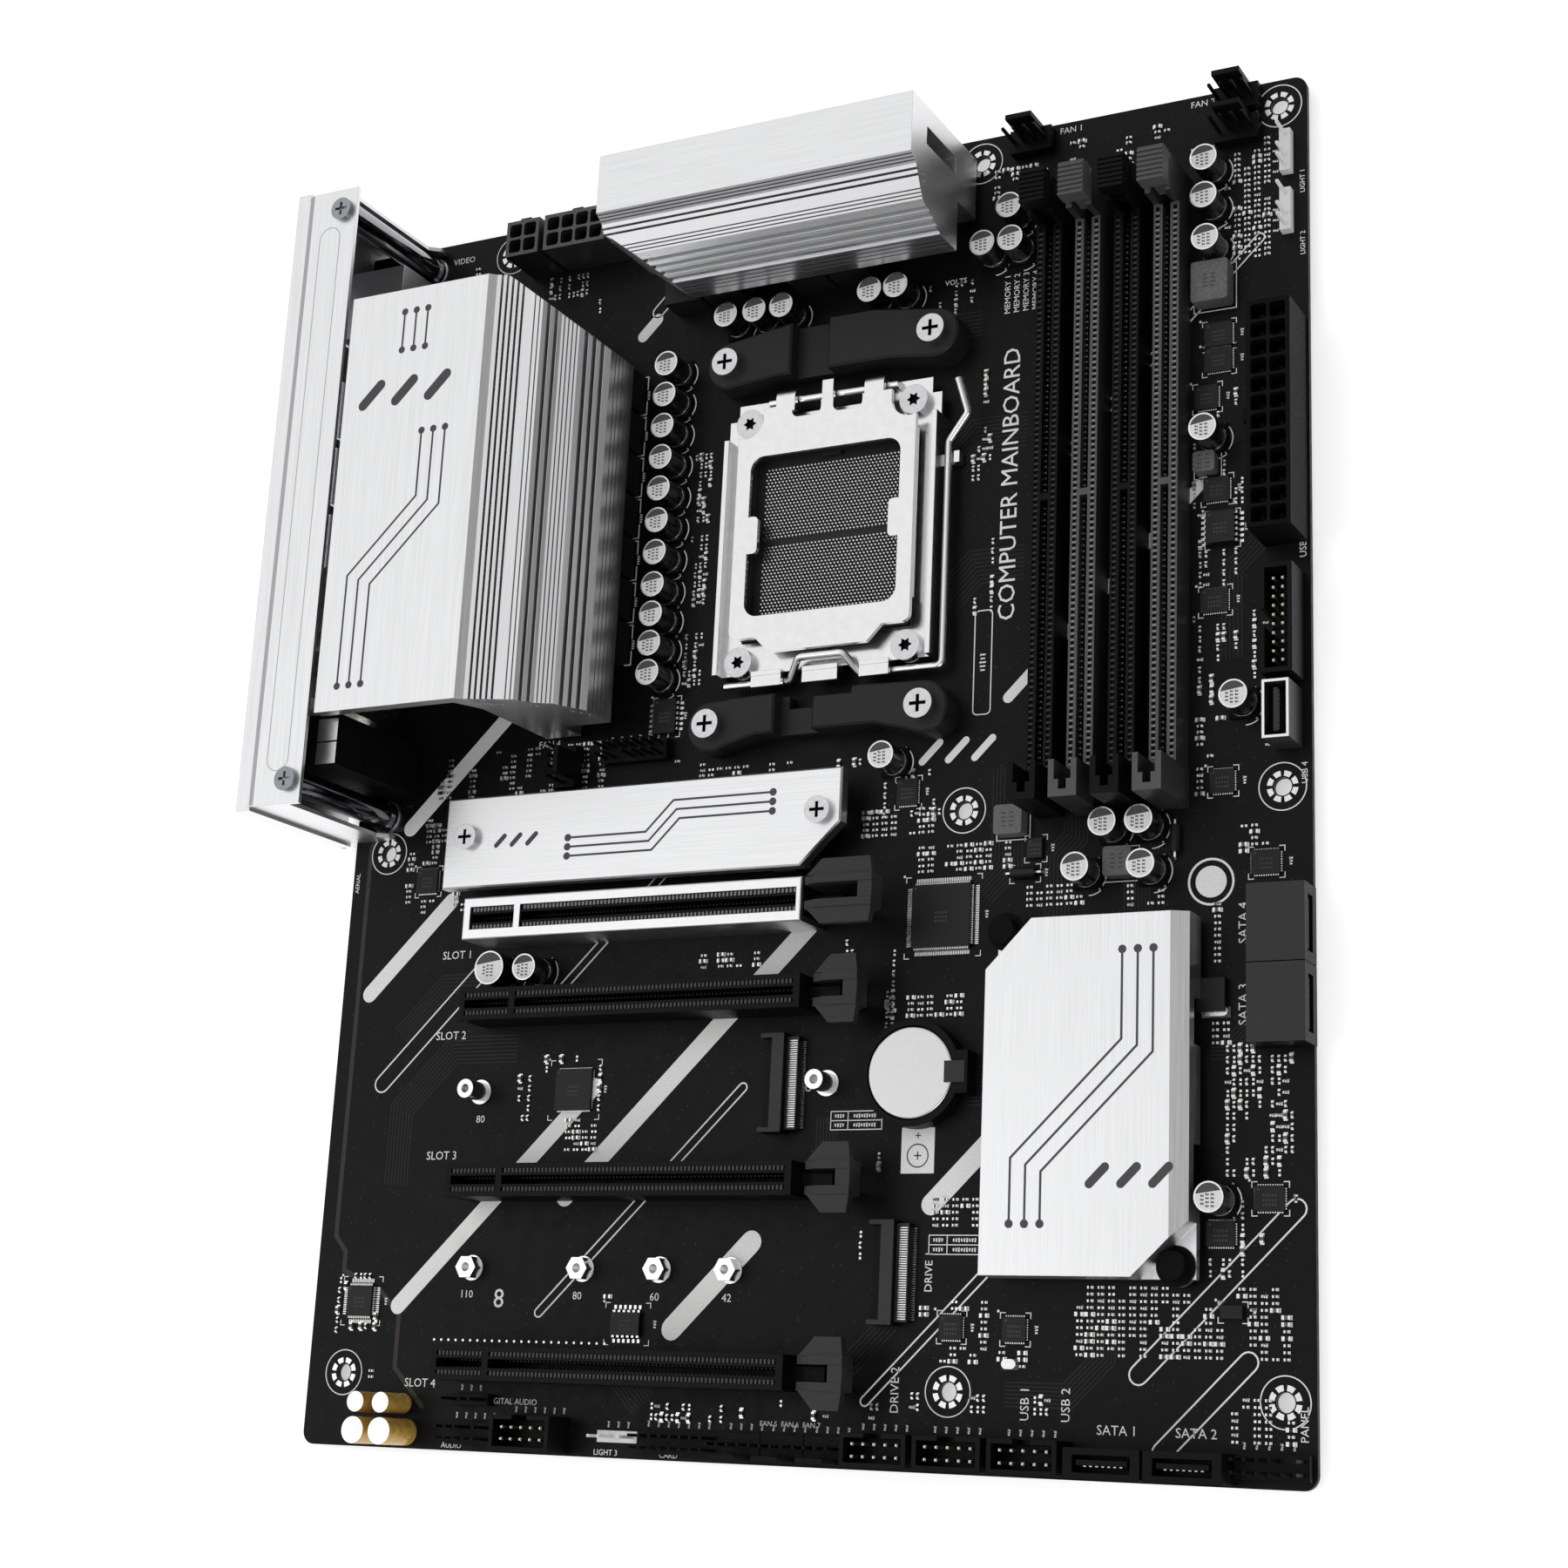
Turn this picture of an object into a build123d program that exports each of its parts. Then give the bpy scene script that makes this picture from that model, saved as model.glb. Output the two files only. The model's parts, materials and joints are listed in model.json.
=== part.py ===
from build123d import *
import os

# Desktop computer mainboard, full ATX, with its slots, heatsinks, headers and rear connectors.
# Board coordinates: x from the rear edge, y from the expansion slot edge, z above the component face.
# The origin of the part is the centre of the four lower chassis holes, on the underside of the board.

os.makedirs("parts", exist_ok=True)

# ---------------------------------------------------------------- driving dimensions (mm)
BOARD_X = 243.84
BOARD_Y = 304.8
BOARD_T = 1.6
CORNER_R = 3.0

HOLE_R = 1.98
HOLE_X = (10.16, 165.1, 237.49)
HOLE_Y_LOW, HOLE_Y_MID = 16.51, 140.97
TOP_HOLES = ((33.02, 298.45), (165.1, 298.45), (237.49, 298.45))

ORIGIN_X = (HOLE_X[0] + HOLE_X[2]) / 2
ORIGIN_Y = (HOLE_Y_LOW + HOLE_Y_MID) / 2

CPU_X, CPU_Y = 130.4, 208.75            # socket centre
COOLER_PITCH_X, COOLER_PITCH_Y = 54.0, 90.0
SOCKET_PITCH_X, SOCKET_PITCH_Y = 42.9, 59.4
STUD_R, STUD_BORE_R = 2.4, 1.5
SOCKET_SCREW_R = 1.4

HINGE_Y, HINGE_Z = 243.0, 4.9           # load plate hinge line
LEVER_Y, LEVER_Z = 174.0, 3.4           # load lever axis
LEVER_R = 0.9
LEVER_ARM_X = 160.2

DIMM_X = tuple(185.85 + 9.35 * i for i in range(4))
DIMM_W, DIMM_H = 6.0, 8.0
DIMM_END_Y, DIMM_TOWER_Y, DIMM_TOP_Y = 137.8, 275.3, 284.2
DIMM_KEY_Y = 209.2
DIMM_PIVOT_Y, DIMM_PIVOT_Z = 280.8, 2.6

SLOT_PITCH = 20.32
SLOT_Y = tuple(120.7 - SLOT_PITCH * i for i in (0, 1, 3, 5))
SLOT_X0, SLOT_X1 = 42.5, 132.0
SLOT_W, SLOT_H = 7.5, 11.25
SLOT_KEY_X = 57.0
LATCH_PIVOT_X, LATCH_PIVOT_Z = 137.4, 3.2

CAP_R, CAP_H = 3.15, 8.4
GAP = 0.3                               # clearance between pieces that move past each other

PORT_FACE_X = -6.3                      # rear faces of the input and output connectors


# ---------------------------------------------------------------- planes and small helpers
def at(x, y, z=0.0):
    """A point in board coordinates."""
    return (x - ORIGIN_X, y - ORIGIN_Y, z + BOARD_T)


def level(z):
    """Plane parallel to the board; sketches on it use board x and y."""
    return Plane(at(0, 0, z))


def across(y):
    """Plane facing the slot edge; sketches on it use board x and z, and extrude toward -y."""
    return Plane(at(0, y), x_dir=(1, 0, 0), z_dir=(0, -1, 0))


def along(x):
    """Plane facing the front edge; sketches on it use board y and z, and extrude toward +x."""
    return Plane(at(x, 0), x_dir=(0, 1, 0), z_dir=(1, 0, 0))


def block(x0, x1, y0, y1, z0, z1, mode=Mode.ADD):
    """Rectangular block between two corners."""
    with Locations(at(x0, y0, z0)):
        Box(x1 - x0, y1 - y0, z1 - z0, align=(Align.MIN, Align.MIN, Align.MIN), mode=mode)


def post(x, y, z0, z1, radius, mode=Mode.ADD):
    """Round post or bore standing on the board."""
    with Locations(at(x, y, z0)):
        Cylinder(radius, z1 - z0, align=(Align.CENTER, Align.CENTER, Align.MIN), mode=mode)


def rod_x(x0, x1, y, z, radius, mode=Mode.ADD):
    """Round bar or bore along x."""
    with BuildSketch(along(x0)) as section:
        with Locations((y, z)):
            Circle(radius)
    extrude(section.sketch, amount=x1 - x0, mode=mode)


def rod_y(y0, y1, x, z, radius, mode=Mode.ADD):
    """Round bar or bore along y."""
    with BuildSketch(across(y1)) as section:
        with Locations((x, z)):
            Circle(radius)
    extrude(section.sketch, amount=y1 - y0, mode=mode)


def prism(plane, outline, height, mode=Mode.ADD):
    """Straight extrusion of a closed outline of corner points."""
    with BuildSketch(plane) as section:
        with BuildLine():
            Polyline(*outline, close=True)
        make_face()
    extrude(section.sketch, amount=height, mode=mode)


def save(piece, node):
    """Label one finished piece and write its STEP file."""
    piece.part.label = node
    export_step(piece.part, f"parts/{node}.step")


def cross_recess(x, y, z_top, size, depth):
    """Cross drive recess in a screw head."""
    for dx, dy in ((size, size / 5), (size / 5, size)):
        block(x - dx / 2, x + dx / 2, y - dy / 2, y + dy / 2, z_top - depth, z_top, Mode.SUBTRACT)


cooler_points = [(CPU_X + sx * COOLER_PITCH_X / 2, CPU_Y + sy * COOLER_PITCH_Y / 2)
                 for sx in (-1, 1) for sy in (-1, 1)]
socket_points = [(CPU_X + sx * SOCKET_PITCH_X / 2, CPU_Y + sy * SOCKET_PITCH_Y / 2)
                 for sx in (-1, 1) for sy in (-1, 1)]

# Screws from the underside hold the two power heatsinks.
SINK_SCREWS = ((60.0, 176.0), (60.0, 262.0), (111.5, 289.0), (152.0, 289.0))
SINK_SCREW_R = 1.4
# Sprung pins hold the chipset heatsink, and two screws hold the drive heatsink.
PUSHPINS = ((177.9, 112.2), (216.4, 42.2))
PUSHPIN_R = 1.5
DRIVE_SCREWS = ((39.8, 141.0), (134.0, 141.0))

# ---------------------------------------------------------------- circuit board
with BuildPart() as pcb:
    with BuildSketch(level(-BOARD_T)):
        with Locations((BOARD_X / 2, BOARD_Y / 2)):
            RectangleRounded(BOARD_X, BOARD_Y, CORNER_R)
        with Locations(*[(x, y) for x in HOLE_X for y in (HOLE_Y_LOW, HOLE_Y_MID)], *TOP_HOLES):
            Circle(HOLE_R, mode=Mode.SUBTRACT)
        with Locations(*cooler_points):
            Circle(STUD_R + 0.2, mode=Mode.SUBTRACT)
        with Locations(*socket_points):
            Circle(SOCKET_SCREW_R + 0.4, mode=Mode.SUBTRACT)
        with Locations(*SINK_SCREWS):
            Circle(SINK_SCREW_R + 0.2, mode=Mode.SUBTRACT)
        with Locations(*PUSHPINS):
            Circle(PUSHPIN_R + 0.2, mode=Mode.SUBTRACT)
    extrude(amount=BOARD_T)
save(pcb, "pcb")

# ---------------------------------------------------------------- processor socket and cooler mount
BACKPLATE_T = 2.0
BRACKET_H, BRACKET_MID_H = 7.4, 3.4
STUD_TOP = 2.6

with BuildPart() as cpu_backplate:
    with BuildSketch(level(-BOARD_T - BACKPLATE_T)):
        with Locations((CPU_X, CPU_Y)):
            RectangleRounded(COOLER_PITCH_X + 13, COOLER_PITCH_Y + 13, 6.5)
            RectangleRounded(COOLER_PITCH_X - 16, COOLER_PITCH_Y - 42, 4, mode=Mode.SUBTRACT)
    extrude(amount=BACKPLATE_T)
    for x, y in cooler_points:
        post(x, y, -BOARD_T, STUD_TOP, STUD_R)
        post(x, y, -1.2, STUD_TOP, STUD_BORE_R, Mode.SUBTRACT)
    for x, y in socket_points:
        post(x, y, -BOARD_T - BACKPLATE_T, -BOARD_T, SOCKET_SCREW_R, Mode.SUBTRACT)
save(cpu_backplate, "cpu_backplate")


def cooler_bracket(screw_y, below, above):
    """Moulded cooler bar: two tall lobes on a low strip, reaching below and above the screw line."""
    left, right = CPU_X - COOLER_PITCH_X / 2, CPU_X + COOLER_PITCH_X / 2
    lower, upper = screw_y - below, screw_y + above
    with BuildPart() as bracket:
        with BuildSketch(level(0)):
            with BuildLine():
                Polyline((left, screw_y - 6), (left + 12, lower), (right - 12, lower), (right, screw_y - 6),
                         (right, screw_y + 6), (right - 16, upper), (left + 16, upper),
                         (left, screw_y + 6), close=True)
            make_face()
            with Locations((left, screw_y), (right, screw_y)):
                Circle(6)
        extrude(amount=BRACKET_H)
        block(CPU_X - 10.4, CPU_X - 0.6, screw_y - 20, screw_y + 20, BRACKET_MID_H, 20, Mode.SUBTRACT)
        for x in (left, right):
            post(x, screw_y, 0, STUD_TOP + 0.2, STUD_R + 0.2, Mode.SUBTRACT)
            post(x, screw_y, 0, BRACKET_H, 1.7, Mode.SUBTRACT)
        tops = bracket.faces().filter_by(Axis.Z).group_by(Axis.Z)[-1]
        chamfer([edge for face in tops for edge in face.outer_wire().edges()], 0.5)
    return bracket


save(cooler_bracket(CPU_Y + COOLER_PITCH_Y / 2, 4.6, 8.4), "cooler_bracket_upper")
lower_bracket = cooler_bracket(CPU_Y - COOLER_PITCH_Y / 2, 2.8, 6.4)
with lower_bracket:                     # room for the lever's crank as it turns over
    rod_x(CPU_X - 8.4, CPU_X + 9.4, LEVER_Y, LEVER_Z, 6.9, Mode.SUBTRACT)
save(lower_bracket, "cooler_bracket_lower")

with BuildPart() as cooler_screws:
    for x, y in cooler_points:
        post(x, y, -0.8, BRACKET_H, STUD_BORE_R - 0.05)
        post(x, y, BRACKET_H, BRACKET_H + 2.4, 3.45)
        cross_recess(x, y, BRACKET_H + 2.4, 4.0, 1.4)
save(cooler_screws, "cooler_screws")

SOCKET_HALF_X, SOCKET_HALF_Y = 21.4, 24.4
CONTACT_FLOOR = 3.0
with BuildPart() as socket_body:
    block(CPU_X - SOCKET_HALF_X, CPU_X + SOCKET_HALF_X, CPU_Y - SOCKET_HALF_Y, CPU_Y + SOCKET_HALF_Y, 0, 5.0)
    block(CPU_X - 19.4, CPU_X + 19.4, CPU_Y - 20.4, CPU_Y + 20.4, CONTACT_FLOOR, 5.0, Mode.SUBTRACT)
    for side in (-1, 1):
        with Locations(at(CPU_X, CPU_Y + side * 20.4, CONTACT_FLOOR)):
            Box(5, 2, 1.4, align=(Align.CENTER, Align.CENTER, Align.MIN))
save(socket_body, "socket_body")

FRAME_HALF_X = 27.8
FRAME_Z0, FRAME_Z1 = 2.4, 3.6
FRAME_Y0, FRAME_Y1 = CPU_Y - 35.0, CPU_Y + 31.5
HOOK_X = (CPU_X - 13.6, CPU_X + 9.6)    # left edges of the two load plate hooks
HOOK_W = 5.0

with BuildPart() as socket_frame:
    block(CPU_X - FRAME_HALF_X, CPU_X + FRAME_HALF_X, FRAME_Y0 + 2.6, FRAME_Y1, FRAME_Z0, FRAME_Z1)
    for side in (-1, 1):                # ears around the rear pair of screws
        block(CPU_X + side * 20.4 - 5.0, CPU_X + side * 20.4 + 5.0, FRAME_Y1, CPU_Y + 35.4, FRAME_Z0, FRAME_Z1)
    block(CPU_X - SOCKET_HALF_X - GAP, CPU_X + SOCKET_HALF_X + GAP, CPU_Y - SOCKET_HALF_Y - GAP,
          CPU_Y + SOCKET_HALF_Y + GAP, 0, 8, Mode.SUBTRACT)
    # Folded rails down both sides, standing on the board.
    for x in (CPU_X - FRAME_HALF_X, CPU_X + FRAME_HALF_X - 1.2):
        block(x, x + 1.2, FRAME_Y0 + 2.6, CPU_Y + 26, 0, 6.2)
    for x, y in socket_points:
        post(x, y, 0, FRAME_Z0, 3.4)
        post(x, y, 0, FRAME_Z1, SOCKET_SCREW_R + 0.1, Mode.SUBTRACT)
    # Hinge bar between two uprights.
    rod_x(CPU_X - 16.4, CPU_X + 17.4, HINGE_Y, HINGE_Z, 1.0)
    for x in (CPU_X - 16.4, CPU_X + 16.2):
        block(x, x + 1.2, HINGE_Y - 1.0, HINGE_Y + 1.0, FRAME_Z0, HINGE_Z)
    # Lever bearings: three folded loops over the lever rod along the lower edge.
    for x0, x1 in ((CPU_X - 17.6, CPU_X - 9.8), (CPU_X - 4.3, CPU_X + 4.7), (CPU_X + 10.2, CPU_X + 17.6)):
        block(x0, x1, LEVER_Y + LEVER_R + GAP, FRAME_Y0 + 2.6, FRAME_Z0, FRAME_Z1 + 2.3)
        block(x0, x1, LEVER_Y - 1.4, FRAME_Y0 + 2.6, LEVER_Z + LEVER_R + GAP, LEVER_Z + LEVER_R + GAP + 1.2)
    # Lever keeper: an open cradle on the right rail.
    keeper_x = CPU_X + FRAME_HALF_X
    block(keeper_x, LEVER_ARM_X + 2.6, 222.4, 225.2, 0.6, 1.8)
    block(LEVER_ARM_X + LEVER_R + GAP, LEVER_ARM_X + 2.6, 222.4, 225.2, 0.6, 3.2)
save(socket_frame, "socket_frame")

with BuildPart() as socket_screws:
    for x, y in socket_points:
        post(x, y, -BOARD_T - BACKPLATE_T + 0.2, FRAME_Z1, SOCKET_SCREW_R - 0.05)
        post(x, y, FRAME_Z1, FRAME_Z1 + 2.0, 3.6)
        with BuildSketch(level(FRAME_Z1 + 0.8)) as star:
            with Locations((x, y)):
                RegularPolygon(1.75, 3)
                RegularPolygon(1.75, 3, rotation=60)
        extrude(star.sketch, amount=1.2, mode=Mode.SUBTRACT)
save(socket_screws, "socket_screws")

PLATE_Z0, PLATE_Z1 = 6.3, 7.5
PLATE_HALF_X = 23.2
with BuildPart() as load_plate:
    with BuildSketch(level(PLATE_Z0)):
        with Locations((CPU_X, (184.0 + 241.0) / 2)):
            RectangleRounded(2 * PLATE_HALF_X, 241.0 - 184.0, 2.0)
        with BuildLine():                                   # tongue toward the lever
            Polyline((CPU_X - 16.4, 184.2), (CPU_X - 12.6, 180.2), (CPU_X + 12.6, 180.2),
                     (CPU_X + 16.4, 184.2), close=True)
        make_face()
        with Locations((CPU_X, CPU_Y + 0.3)):               # processor window
            RectangleRounded(39.0, 39.6, 3.4, mode=Mode.SUBTRACT)
        for side in (-1, 1):                                # two pressing tabs at the window sides
            with Locations((CPU_X + side * 18.6, CPU_Y + 0.6)):
                RectangleRounded(3.4, 9.2, 1.2)
        # Upper corners cut back around the frame screws.
        with Locations(*[(x, y) for x, y in socket_points if y > CPU_Y]):
            Circle(4.6, mode=Mode.SUBTRACT)
        for side in (-1, 1):
            with Locations((CPU_X + side * 21.5, 240.6)):
                Rectangle(9.4, 6.2, mode=Mode.SUBTRACT)
            with Locations((CPU_X + side * 5.4, 239.9)):    # notches beside the middle finger
                RectangleRounded(7.6, 4.4, 1.6, mode=Mode.SUBTRACT)
        with Locations((CPU_X, 242.2)):                     # middle finger over the hinge bar
            Rectangle(2.9, 7.4)
    extrude(amount=PLATE_Z1 - PLATE_Z0)
    block(CPU_X - PLATE_HALF_X, CPU_X - PLATE_HALF_X + 1.0, 190, 231, PLATE_Z0 - 0.9, PLATE_Z0)
    block(CPU_X + PLATE_HALF_X - 1.0, CPU_X + PLATE_HALF_X, 190, 231, PLATE_Z0 - 0.9, PLATE_Z0)
    for x in HOOK_X:                                        # hooks wrapped around the hinge bar
        block(x, x + HOOK_W, 239.5, HINGE_Y, PLATE_Z0, PLATE_Z1)
        rod_x(x, x + HOOK_W, HINGE_Y, HINGE_Z, PLATE_Z1 - HINGE_Z)
        block(x, x + HOOK_W, HINGE_Y - 5.0, HINGE_Y + 5.0, -2, HINGE_Z - 1.8, Mode.SUBTRACT)
        rod_x(x - 0.1, x + HOOK_W + 0.1, HINGE_Y, HINGE_Z, 1.0 + GAP, Mode.SUBTRACT)
        block(x, x + HOOK_W, HINGE_Y - 3.0, HINGE_Y, HINGE_Z - 3.0, HINGE_Z + 1.2, Mode.SUBTRACT)
save(load_plate, "load_plate")

CRANK_Y, CRANK_Z = 178.4, 6.6           # crossbar of the crank, beyond the tongue
with BuildPart() as load_lever:
    with BuildLine():
        FilletPolyline(
            at(CPU_X - 25.6, LEVER_Y, LEVER_Z), at(CPU_X - 8.6, LEVER_Y, LEVER_Z),
            at(CPU_X - 5.0, CRANK_Y, CRANK_Z), at(CPU_X + 6.4, CRANK_Y, CRANK_Z),
            at(CPU_X + 9.4, LEVER_Y, LEVER_Z), at(LEVER_ARM_X, LEVER_Y, LEVER_Z),
            at(LEVER_ARM_X, 227.6, LEVER_Z), at(LEVER_ARM_X + 5.4, 233.4, LEVER_Z + 1.6),
            at(LEVER_ARM_X + 4.0, 241.0, LEVER_Z + 4.6), radius=1.5)
    with BuildSketch(Plane(at(CPU_X - 25.6, LEVER_Y, LEVER_Z), z_dir=(1, 0, 0))):
        Circle(LEVER_R)
    sweep(transition=Transition.RIGHT)
save(load_lever, "load_lever")

# ---------------------------------------------------------------- memory slots and their latches
HEAD_Z0, HEAD_Z1 = 15.2, 19.0


def dimm_slot(x):
    """Card edge connector with a fixed open end block and a latch tower."""
    half = DIMM_W / 2
    with BuildPart() as slot:
        block(x - half, x + half, DIMM_END_Y, DIMM_TOWER_Y, 0, DIMM_H)
        block(x - half, x + half, DIMM_TOWER_Y, DIMM_TOP_Y, 0, 14.0)
        block(x - half - 0.2, x + half + 0.2, DIMM_END_Y, DIMM_END_Y + 8.2, 0, 17.6)
        # Module groove, interrupted by the key.
        block(x - 0.9, x + 0.9, DIMM_END_Y + 1.6, DIMM_KEY_Y - 0.8, 1.6, 20, Mode.SUBTRACT)
        block(x - 0.9, x + 0.9, DIMM_KEY_Y + 0.8, DIMM_TOWER_Y + 0.1, 1.6, 20, Mode.SUBTRACT)
        block(x - 1.9, x + 1.9, DIMM_END_Y + 3.8, DIMM_END_Y + 8.3, DIMM_H, 18, Mode.SUBTRACT)
        # Latch bay, open at the top and the outer end, with a pivot pin across it.
        block(x - 1.6, x + 1.6, DIMM_TOWER_Y - 0.1, DIMM_TOP_Y, 0.2, 15, Mode.SUBTRACT)
        rod_x(x - 1.6, x + 1.6, DIMM_PIVOT_Y, DIMM_PIVOT_Z, 0.8)
        # Shallow relief between the two rails of the body.
        for side in (-1, 1):
            block(x + side * 2.05 - 0.45, x + side * 2.05 + 0.45, DIMM_END_Y + 9, DIMM_TOWER_Y - 0.6,
                  DIMM_H - 0.5, DIMM_H, Mode.SUBTRACT)
    return slot


def dimm_latch(x):
    """Ejector latch: a stem that turns on the tower's pin, with a ribbed finger head."""
    stem = 1.6 - GAP
    with BuildPart() as latch:
        prism(along(x - stem), [(DIMM_PIVOT_Y - 2.2, DIMM_PIVOT_Z - 1.4), (DIMM_PIVOT_Y + 1.4, DIMM_PIVOT_Z - 1.4),
                                (DIMM_PIVOT_Y + 2.2, DIMM_PIVOT_Z), (DIMM_PIVOT_Y + 2.2, HEAD_Z0),
                                (DIMM_PIVOT_Y - 3.8, HEAD_Z0), (DIMM_PIVOT_Y - 3.8, 9.0),
                                (DIMM_PIVOT_Y - 1.6, 6.0)], 2 * stem)
        block(x - 3.0, x + 3.0, DIMM_TOP_Y - 8.3, DIMM_TOP_Y - 0.1, HEAD_Z0, HEAD_Z1)
        rib = 8.2 / 7
        for i in range(7):
            y = DIMM_TOP_Y - 8.3 + rib * i
            block(x - 3.0, x + 3.0, y, y + rib / 2, HEAD_Z1, HEAD_Z1 + 0.4)
        rod_x(x - stem, x + stem, DIMM_PIVOT_Y, DIMM_PIVOT_Z, 0.8 + 0.25, Mode.SUBTRACT)
    return latch


for i, x in enumerate(DIMM_X, start=1):
    save(dimm_slot(x), f"dimm_slot_{i}")
    save(dimm_latch(x), f"dimm_latch_{i}")

# ---------------------------------------------------------------- expansion slots and their latches
TAIL_X1 = 139.4


def pcie_slot(y):
    """Card edge connector with a hinge tail for its latch."""
    half = SLOT_W / 2
    with BuildPart() as slot:
        block(SLOT_X0, SLOT_X1, y - half, y + half, 0, SLOT_H)
        for x0, x1 in ((SLOT_X0 + 1.4, SLOT_KEY_X - 0.8), (SLOT_KEY_X + 0.8, SLOT_X1 - 1.6)):
            block(x0, x1, y - 1.0, y + 1.0, 2.0, SLOT_H, Mode.SUBTRACT)
            for side in (-1, 1):
                block(x0, x1, y + side * 2.1 - 0.5, y + side * 2.1 + 0.5, SLOT_H - 0.6, SLOT_H, Mode.SUBTRACT)
        block(SLOT_X1, TAIL_X1, y - 1.5, y + 1.5, 0, 6.2)
        rod_y(y - 3.6, y + 3.6, LATCH_PIVOT_X, LATCH_PIVOT_Z, 0.9)
    return slot


def pcie_latch(y, reach, top, wing):
    """Two-armed card latch; reach is its length, top its height, wing its half width."""
    x0, x1 = 134.9, 135.6 + reach
    arm_in, arm_out = 1.5 + GAP, 3.6
    profile = [(x0, 5.6), (x0, top - 1.6), (x0 + 3.4, top), (x1, top), (x1, top - 5.4),
               (TAIL_X1 + 1.6, 1.9), (LATCH_PIVOT_X - 1.7, 1.5)]
    with BuildPart() as latch:
        for edge in (y - arm_in, y + arm_out):
            prism(across(edge), profile, arm_out - arm_in)
        block(x1 - 3.4, x1, y - arm_in, y + arm_in, top - 5.4, top - 0.2)
        for side in (-1, 1):
            wing_top = top - 0.3
            edge = y + side * wing
            prism(level(wing_top - 2.0), [(x0 + 1.0, y + side * arm_out), (x0 + 4.6, edge), (x1 - 0.6, edge),
                                          (x1 - 0.1, y + side * arm_out)], 2.0)
        rod_y(y - 4, y + 4, LATCH_PIVOT_X, LATCH_PIVOT_Z, 0.9 + 0.25, Mode.SUBTRACT)
    return latch


for i, y in enumerate(SLOT_Y, start=1):
    save(pcie_slot(y), f"pcie_slot_{i}")
    if i == 1:
        save(pcie_latch(y, 16.2, 18.0, 7.2), "pcie_latch_1")
    else:
        save(pcie_latch(y, 10.6, 12.0, 7.5), f"pcie_latch_{i}")

ARMOR_T = 0.6
with BuildPart() as pcie_slot_armor:
    y = SLOT_Y[0]
    half = SLOT_W / 2 + 1.25
    block(SLOT_X0 - ARMOR_T, SLOT_X1 - 0.3, y - half, y + half, 0, SLOT_H + ARMOR_T)
    block(SLOT_X0, SLOT_X1, y - SLOT_W / 2, y + SLOT_W / 2, 0, SLOT_H, Mode.SUBTRACT)
    for x0, x1 in ((SLOT_X0 + 1.4, SLOT_KEY_X - 0.8), (SLOT_KEY_X + 0.8, SLOT_X1 - 1.6)):
        block(x0, x1, y - 2.7, y + 2.7, SLOT_H, SLOT_H + 1, Mode.SUBTRACT)
    fillet(pcie_slot_armor.faces().sort_by(Axis.Z)[-1].outer_wire().edges(), 0.5)
save(pcie_slot_armor, "pcie_slot_armor")

# ---------------------------------------------------------------- processor power stage and its heatsinks
CHOKE = 10.0
CHOKE_H = 7.2
LEFT_CHOKES = tuple((70.8, 252.8 - 10.75 * i) for i in range(7))
TOP_CHOKES = ((89.0, 277.6), (100.0, 277.6), (123.0, 277.6), (134.0, 277.6))

with BuildPart() as power_chokes:
    for x, y in LEFT_CHOKES + TOP_CHOKES:
        with Locations(at(x, y)):
            Box(CHOKE, CHOKE - 0.4, CHOKE_H, align=(Align.CENTER, Align.CENTER, Align.MIN))
save(power_chokes, "power_chokes")

STAGE_H, PAD_T = 0.9, 1.3
LEFT_STAGES = tuple((60.6, y) for _, y in LEFT_CHOKES)
TOP_STAGES = tuple((x, 288.0) for x, _ in TOP_CHOKES)

LEFT_SINK_Y0, LEFT_SINK_Y1 = 166.0, 272.0
# Cross-section across the rear-left heatsink, in x and z, from the rear lip to the socket side.
LEFT_PROFILE = [(14.6, 36.8), (14.6, 40.0), (54.4, 40.0), (56.0, 38.6), (62.8, 36.0), (67.0, 34.6),
                (70.0, 30.6), (74.0, 28.6), (77.4, 22.6), (78.4, 21.0), (78.4, 10.4), (65.2, 10.4),
                (65.2, STAGE_H + PAD_T), (55.6, STAGE_H + PAD_T), (55.6, 30.0), (52.0, 36.8)]
with BuildPart() as vrm_heatsink_left:
    prism(across(LEFT_SINK_Y1), LEFT_PROFILE, LEFT_SINK_Y1 - LEFT_SINK_Y0)
    # Corner toward the top edge cut back on the diagonal.
    prism(level(0), [(57.0, LEFT_SINK_Y1 + 1), (60.0, LEFT_SINK_Y1 - 1.0), (78.5, 256.0), (82, 256.0),
                     (82, LEFT_SINK_Y1 + 1)], 45, Mode.SUBTRACT)
    # Fin grooves.
    for x0, z0, count, step, drop in ((57.0, 33.4, 5, 1.25, 0.5), (67.7, 28.6, 2, 1.2, 1.2),
                                      (74.7, 21.2, 3, 1.1, 1.8)):
        for i in range(count):
            x = x0 + step * i
            block(x, x + 0.5, LEFT_SINK_Y0 - 1, LEFT_SINK_Y1 + 1, z0 - drop * i, 45, Mode.SUBTRACT)
    for x, y in SINK_SCREWS[:2]:
        post(x, y, 0, 8.0, SINK_SCREW_R + 0.1, Mode.SUBTRACT)
save(vrm_heatsink_left, "vrm_heatsink_left")

TOP_SINK_X0, TOP_SINK_X1 = 82.4, 164.6
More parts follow.
